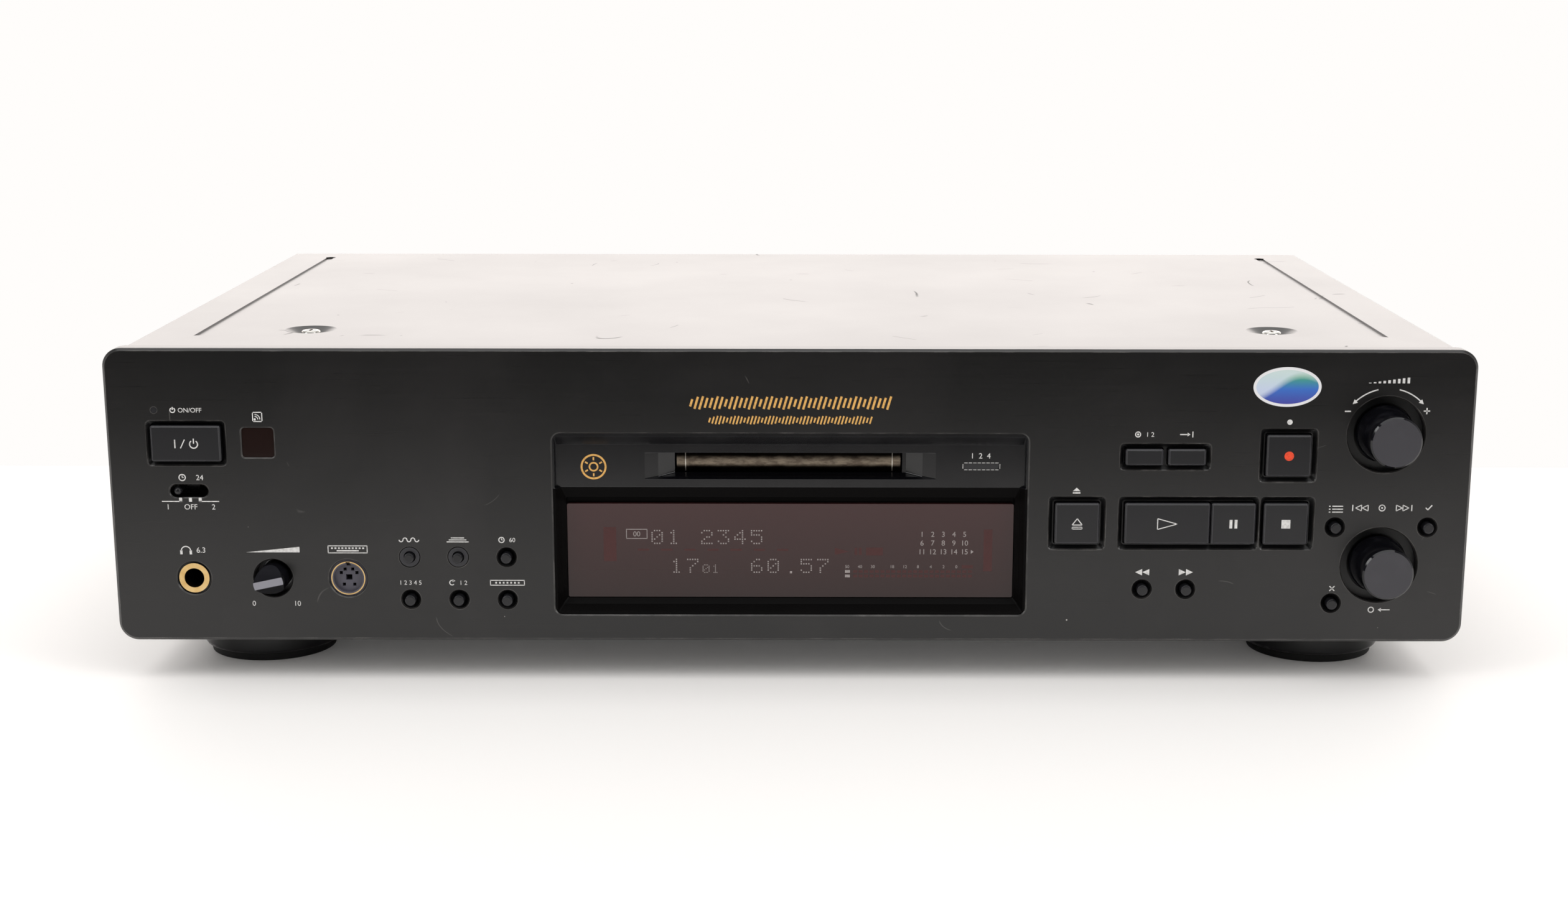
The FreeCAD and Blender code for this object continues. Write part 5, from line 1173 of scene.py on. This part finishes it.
@dataclass
class Housing:
    """Cover, rear panel, base, feet and what the deck holds inside."""

    palette: Palette

    def build(self) -> None:
        """Dress the housing and the works."""
        looks = {
            "top_cover": self.palette.cover, "rear_panel": self.palette.rear,
            "base_pan": self.palette.zinc, "cross_beam": self.palette.zinc,
            "screws": self.palette.nickel, "feet": self.palette.foot,
            "foot_pads": self.palette.rubber, "encoders": self.palette.zinc,
            "front_boards": self.palette.laminate, "main_board": self.palette.laminate,
            "push_switches": self.palette.socket, "transformer": self.palette.core,
            "phono_jacks": self.palette.socket, "optical_jacks": self.palette.socket,
            "mains_inlet": self.palette.socket, "drive_frame": self.palette.zinc,
            "disc_holder": self.palette.zinc, "cam_slider": self.palette.white,
            "turntable": self.palette.white, "spindle_motor": self.palette.nickel,
            "guide_rods": self.palette.nickel, "optical_pickup": self.palette.cast,
            "recording_head": self.palette.nickel, "lead_screw": self.palette.nickel,
        }
        for node, finish in looks.items():
            dress_node(node, finish)
        LOG.info("dressed %d nodes of the housing and the works", len(looks))


@dataclass
class Studio:
    """Pale table, white backdrop, soft lamps and the camera."""

    camera_place: tuple[float, float, float] = (0.005727, -0.83768, 0.2206)
    camera_turn: tuple[float, float, float] = (76.996, -0.081, 0.030)
    focal_px: float = 3693.41
    sensor_mm: float = 36.0
    centre_px: tuple[float, float] = (38.4, 76.1)
    table_front: float = -0.45
    table_rear: float = 0.2
    table_colour: str = "f4f2f0"
    table_half: float = 2.6
    table_thick: float = 0.002
    table_lift: float = 0.04
    room_light: float = 0.62
    room_glow: float = 0.03
    dim_to: float = -0.3
    white_from: float = 0.5

    def build(self) -> None:
        """Set the stage."""
        self.table()
        self.world()
        self.lamps()
        self.camera()
        settings = bpy.context.scene.view_settings
        settings.view_transform = "Standard"

    def table(self) -> None:
        """Pale table that ends a little before and behind the deck."""
        build = bmesh.new()
        front, rear, thick = self.table_front, self.table_rear, self.table_thick
        bmesh.ops.create_cube(build, size=1.0)
        bmesh.ops.scale(build, verts=build.verts, vec=(2 * self.table_half, rear - front, thick))
        bmesh.ops.translate(build, verts=build.verts, vec=(0, (front + rear) / 2, -thick / 2))
        mesh = bpy.data.meshes.new("table")
        build.to_mesh(mesh)
        build.free()
        table = bpy.data.objects.new("table", mesh)
        bpy.context.scene.collection.objects.link(table)
        material = bpy.data.materials.new("pale_table")
        material.use_nodes = True
        tree = material.node_tree
        shader = tree.nodes["Principled BSDF"]
        shader.inputs["Roughness"].default_value = 0.6
        place = add_node(tree, "TexCoord")
        clouds = add_node(tree, "TexNoise", {"Vector": (place, "Object"), "Scale": 3.0,
                                             "Detail": 2.0})
        tone = add_node(tree, "Mix", {"Factor": (clouds, "Fac"), 6: linear(self.table_colour),
                                      7: linear("faf8f6")}, {"data_type": "RGBA"})
        tree.links.new(tone.outputs["Result"], shader.inputs["Base Color"])
        path = add_node(tree, "LightPath")
        glow = self.spread_seen(tree, path, 0.0, self.table_lift)
        tree.links.new(glow.outputs["Result"], shader.inputs["Emission Strength"])
        shader.inputs["Emission Color"].default_value = linear("fffdfb")
        mesh.materials.append(material)

    def world(self) -> None:
        """White surroundings; reflections find them white behind and dim before the deck."""
        world = bpy.data.worlds.new("white_room")
        bpy.context.scene.world = world
        world.use_nodes = True
        tree = world.node_tree
        tree.nodes.clear()
        path = add_node(tree, "LightPath")
        plain = self.spread_seen(tree, path, self.room_light, 1.0)
        way = add_node(tree, "TexCoord")
        split = add_node(tree, "SeparateXYZ", {"Vector": (way, "Generated")})
        room = add_node(tree, "MapRange", {"Value": (split, "Y"), "From Min": self.dim_to,
                                           "From Max": self.white_from, "To Min": self.room_glow},
                        {"interpolation_type": "SMOOTHSTEP"})
        power = add_node(tree, "Mix", {"Factor": (path, "Is Glossy Ray"), 2: (plain, "Result"),
                                       3: (room, "Result")}, {"data_type": "FLOAT"})
        back = add_node(tree, "Background", {"Strength": (power, "Result"),
                                             "Color": linear("fffdfb")})
        add_node(tree, "OutputWorld", {"Surface": (back, "Background")})

    def spread_seen(self, tree: Tree, path: Node, other: float, seen: float) -> Node:
        """Give one value to what the camera sees, straight or through glass, else another."""
        either = add_node(tree, "Math", {0: (path, "Is Camera Ray"),
                                         1: (path, "Is Transmission Ray")},
                          {"operation": "MAXIMUM"})
        return add_node(tree, "MapRange", {"Value": (either, "Value"), "To Min": other,
                                           "To Max": seen})

    def lamp(self, name: str, place: tuple[float, float, float],
             aim: tuple[float, float, float], size: Point, watts: float,
             colour: str = "ffffff") -> None:
        """Add a rectangular soft box.

        Args:
            name: Name of the lamp.
            place: Where it hangs, in metres.
            aim: Point that it faces.
            size: Its width and height in metres.
            watts: Its power.
            colour: Its colour.
        """
        light = bpy.data.lights.new(name, "AREA")
        light.shape = "RECTANGLE"
        light.size, light.size_y = size
        light.energy = watts
        light.color = linear(colour)[:3]
        holder = bpy.data.objects.new(name, light)
        holder.location = place
        holder.rotation_euler = (Vector(aim) - Vector(place)).to_track_quat("-Z", "Y").to_euler()
        bpy.context.scene.collection.objects.link(holder)

    def lamps(self) -> None:
        """Overhead box, two side boxes and a wide one behind that glazes the cover."""
        self.lamp("overhead", (0.0, -0.35, 1.7), (0, -0.2, 0), (2.2, 1.4), 14.0)
        self.lamp("left_box", (-1.3, -0.9, 0.9), (0, -0.1, 0.05), (0.5, 0.9), 6.0)
        self.lamp("right_box", (1.3, -0.9, 0.9), (0, -0.1, 0.05), (0.5, 0.9), 6.0)
        self.lamp("rear_box", (0.0, 2.0, 0.75), (0, 0, 0.1), (4.2, 1.1), 25.0, "fff5f0")

    def camera(self) -> None:
        """Camera at the photographed viewing angle."""
        camera = bpy.data.cameras.new("photo_camera")
        camera.sensor_width = self.sensor_mm
        camera.lens = self.focal_px * self.sensor_mm / IMAGE_WIDTH
        camera.shift_x = -self.centre_px[0] / IMAGE_WIDTH
        camera.shift_y = self.centre_px[1] / IMAGE_WIDTH
        camera.clip_start = 0.01
        holder = bpy.data.objects.new("photo_camera", camera)
        holder.location = self.camera_place
        holder.rotation_euler = [math.radians(turn) for turn in self.camera_turn]
        bpy.context.scene.collection.objects.link(holder)
        bpy.context.scene.camera = holder


def main() -> None:
    """Build the looks in order."""
    logging.basicConfig(level=logging.INFO, format="%(name)s: %(message)s")
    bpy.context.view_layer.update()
    palette = Palette()
    Studio().build()
    for part in (FrontPanel(palette), Controls(palette), CentreBlock(palette), Housing(palette)):
        part.build()
        LOG.info("built %s", type(part).__name__)


if __name__ == "__main__":
    main()
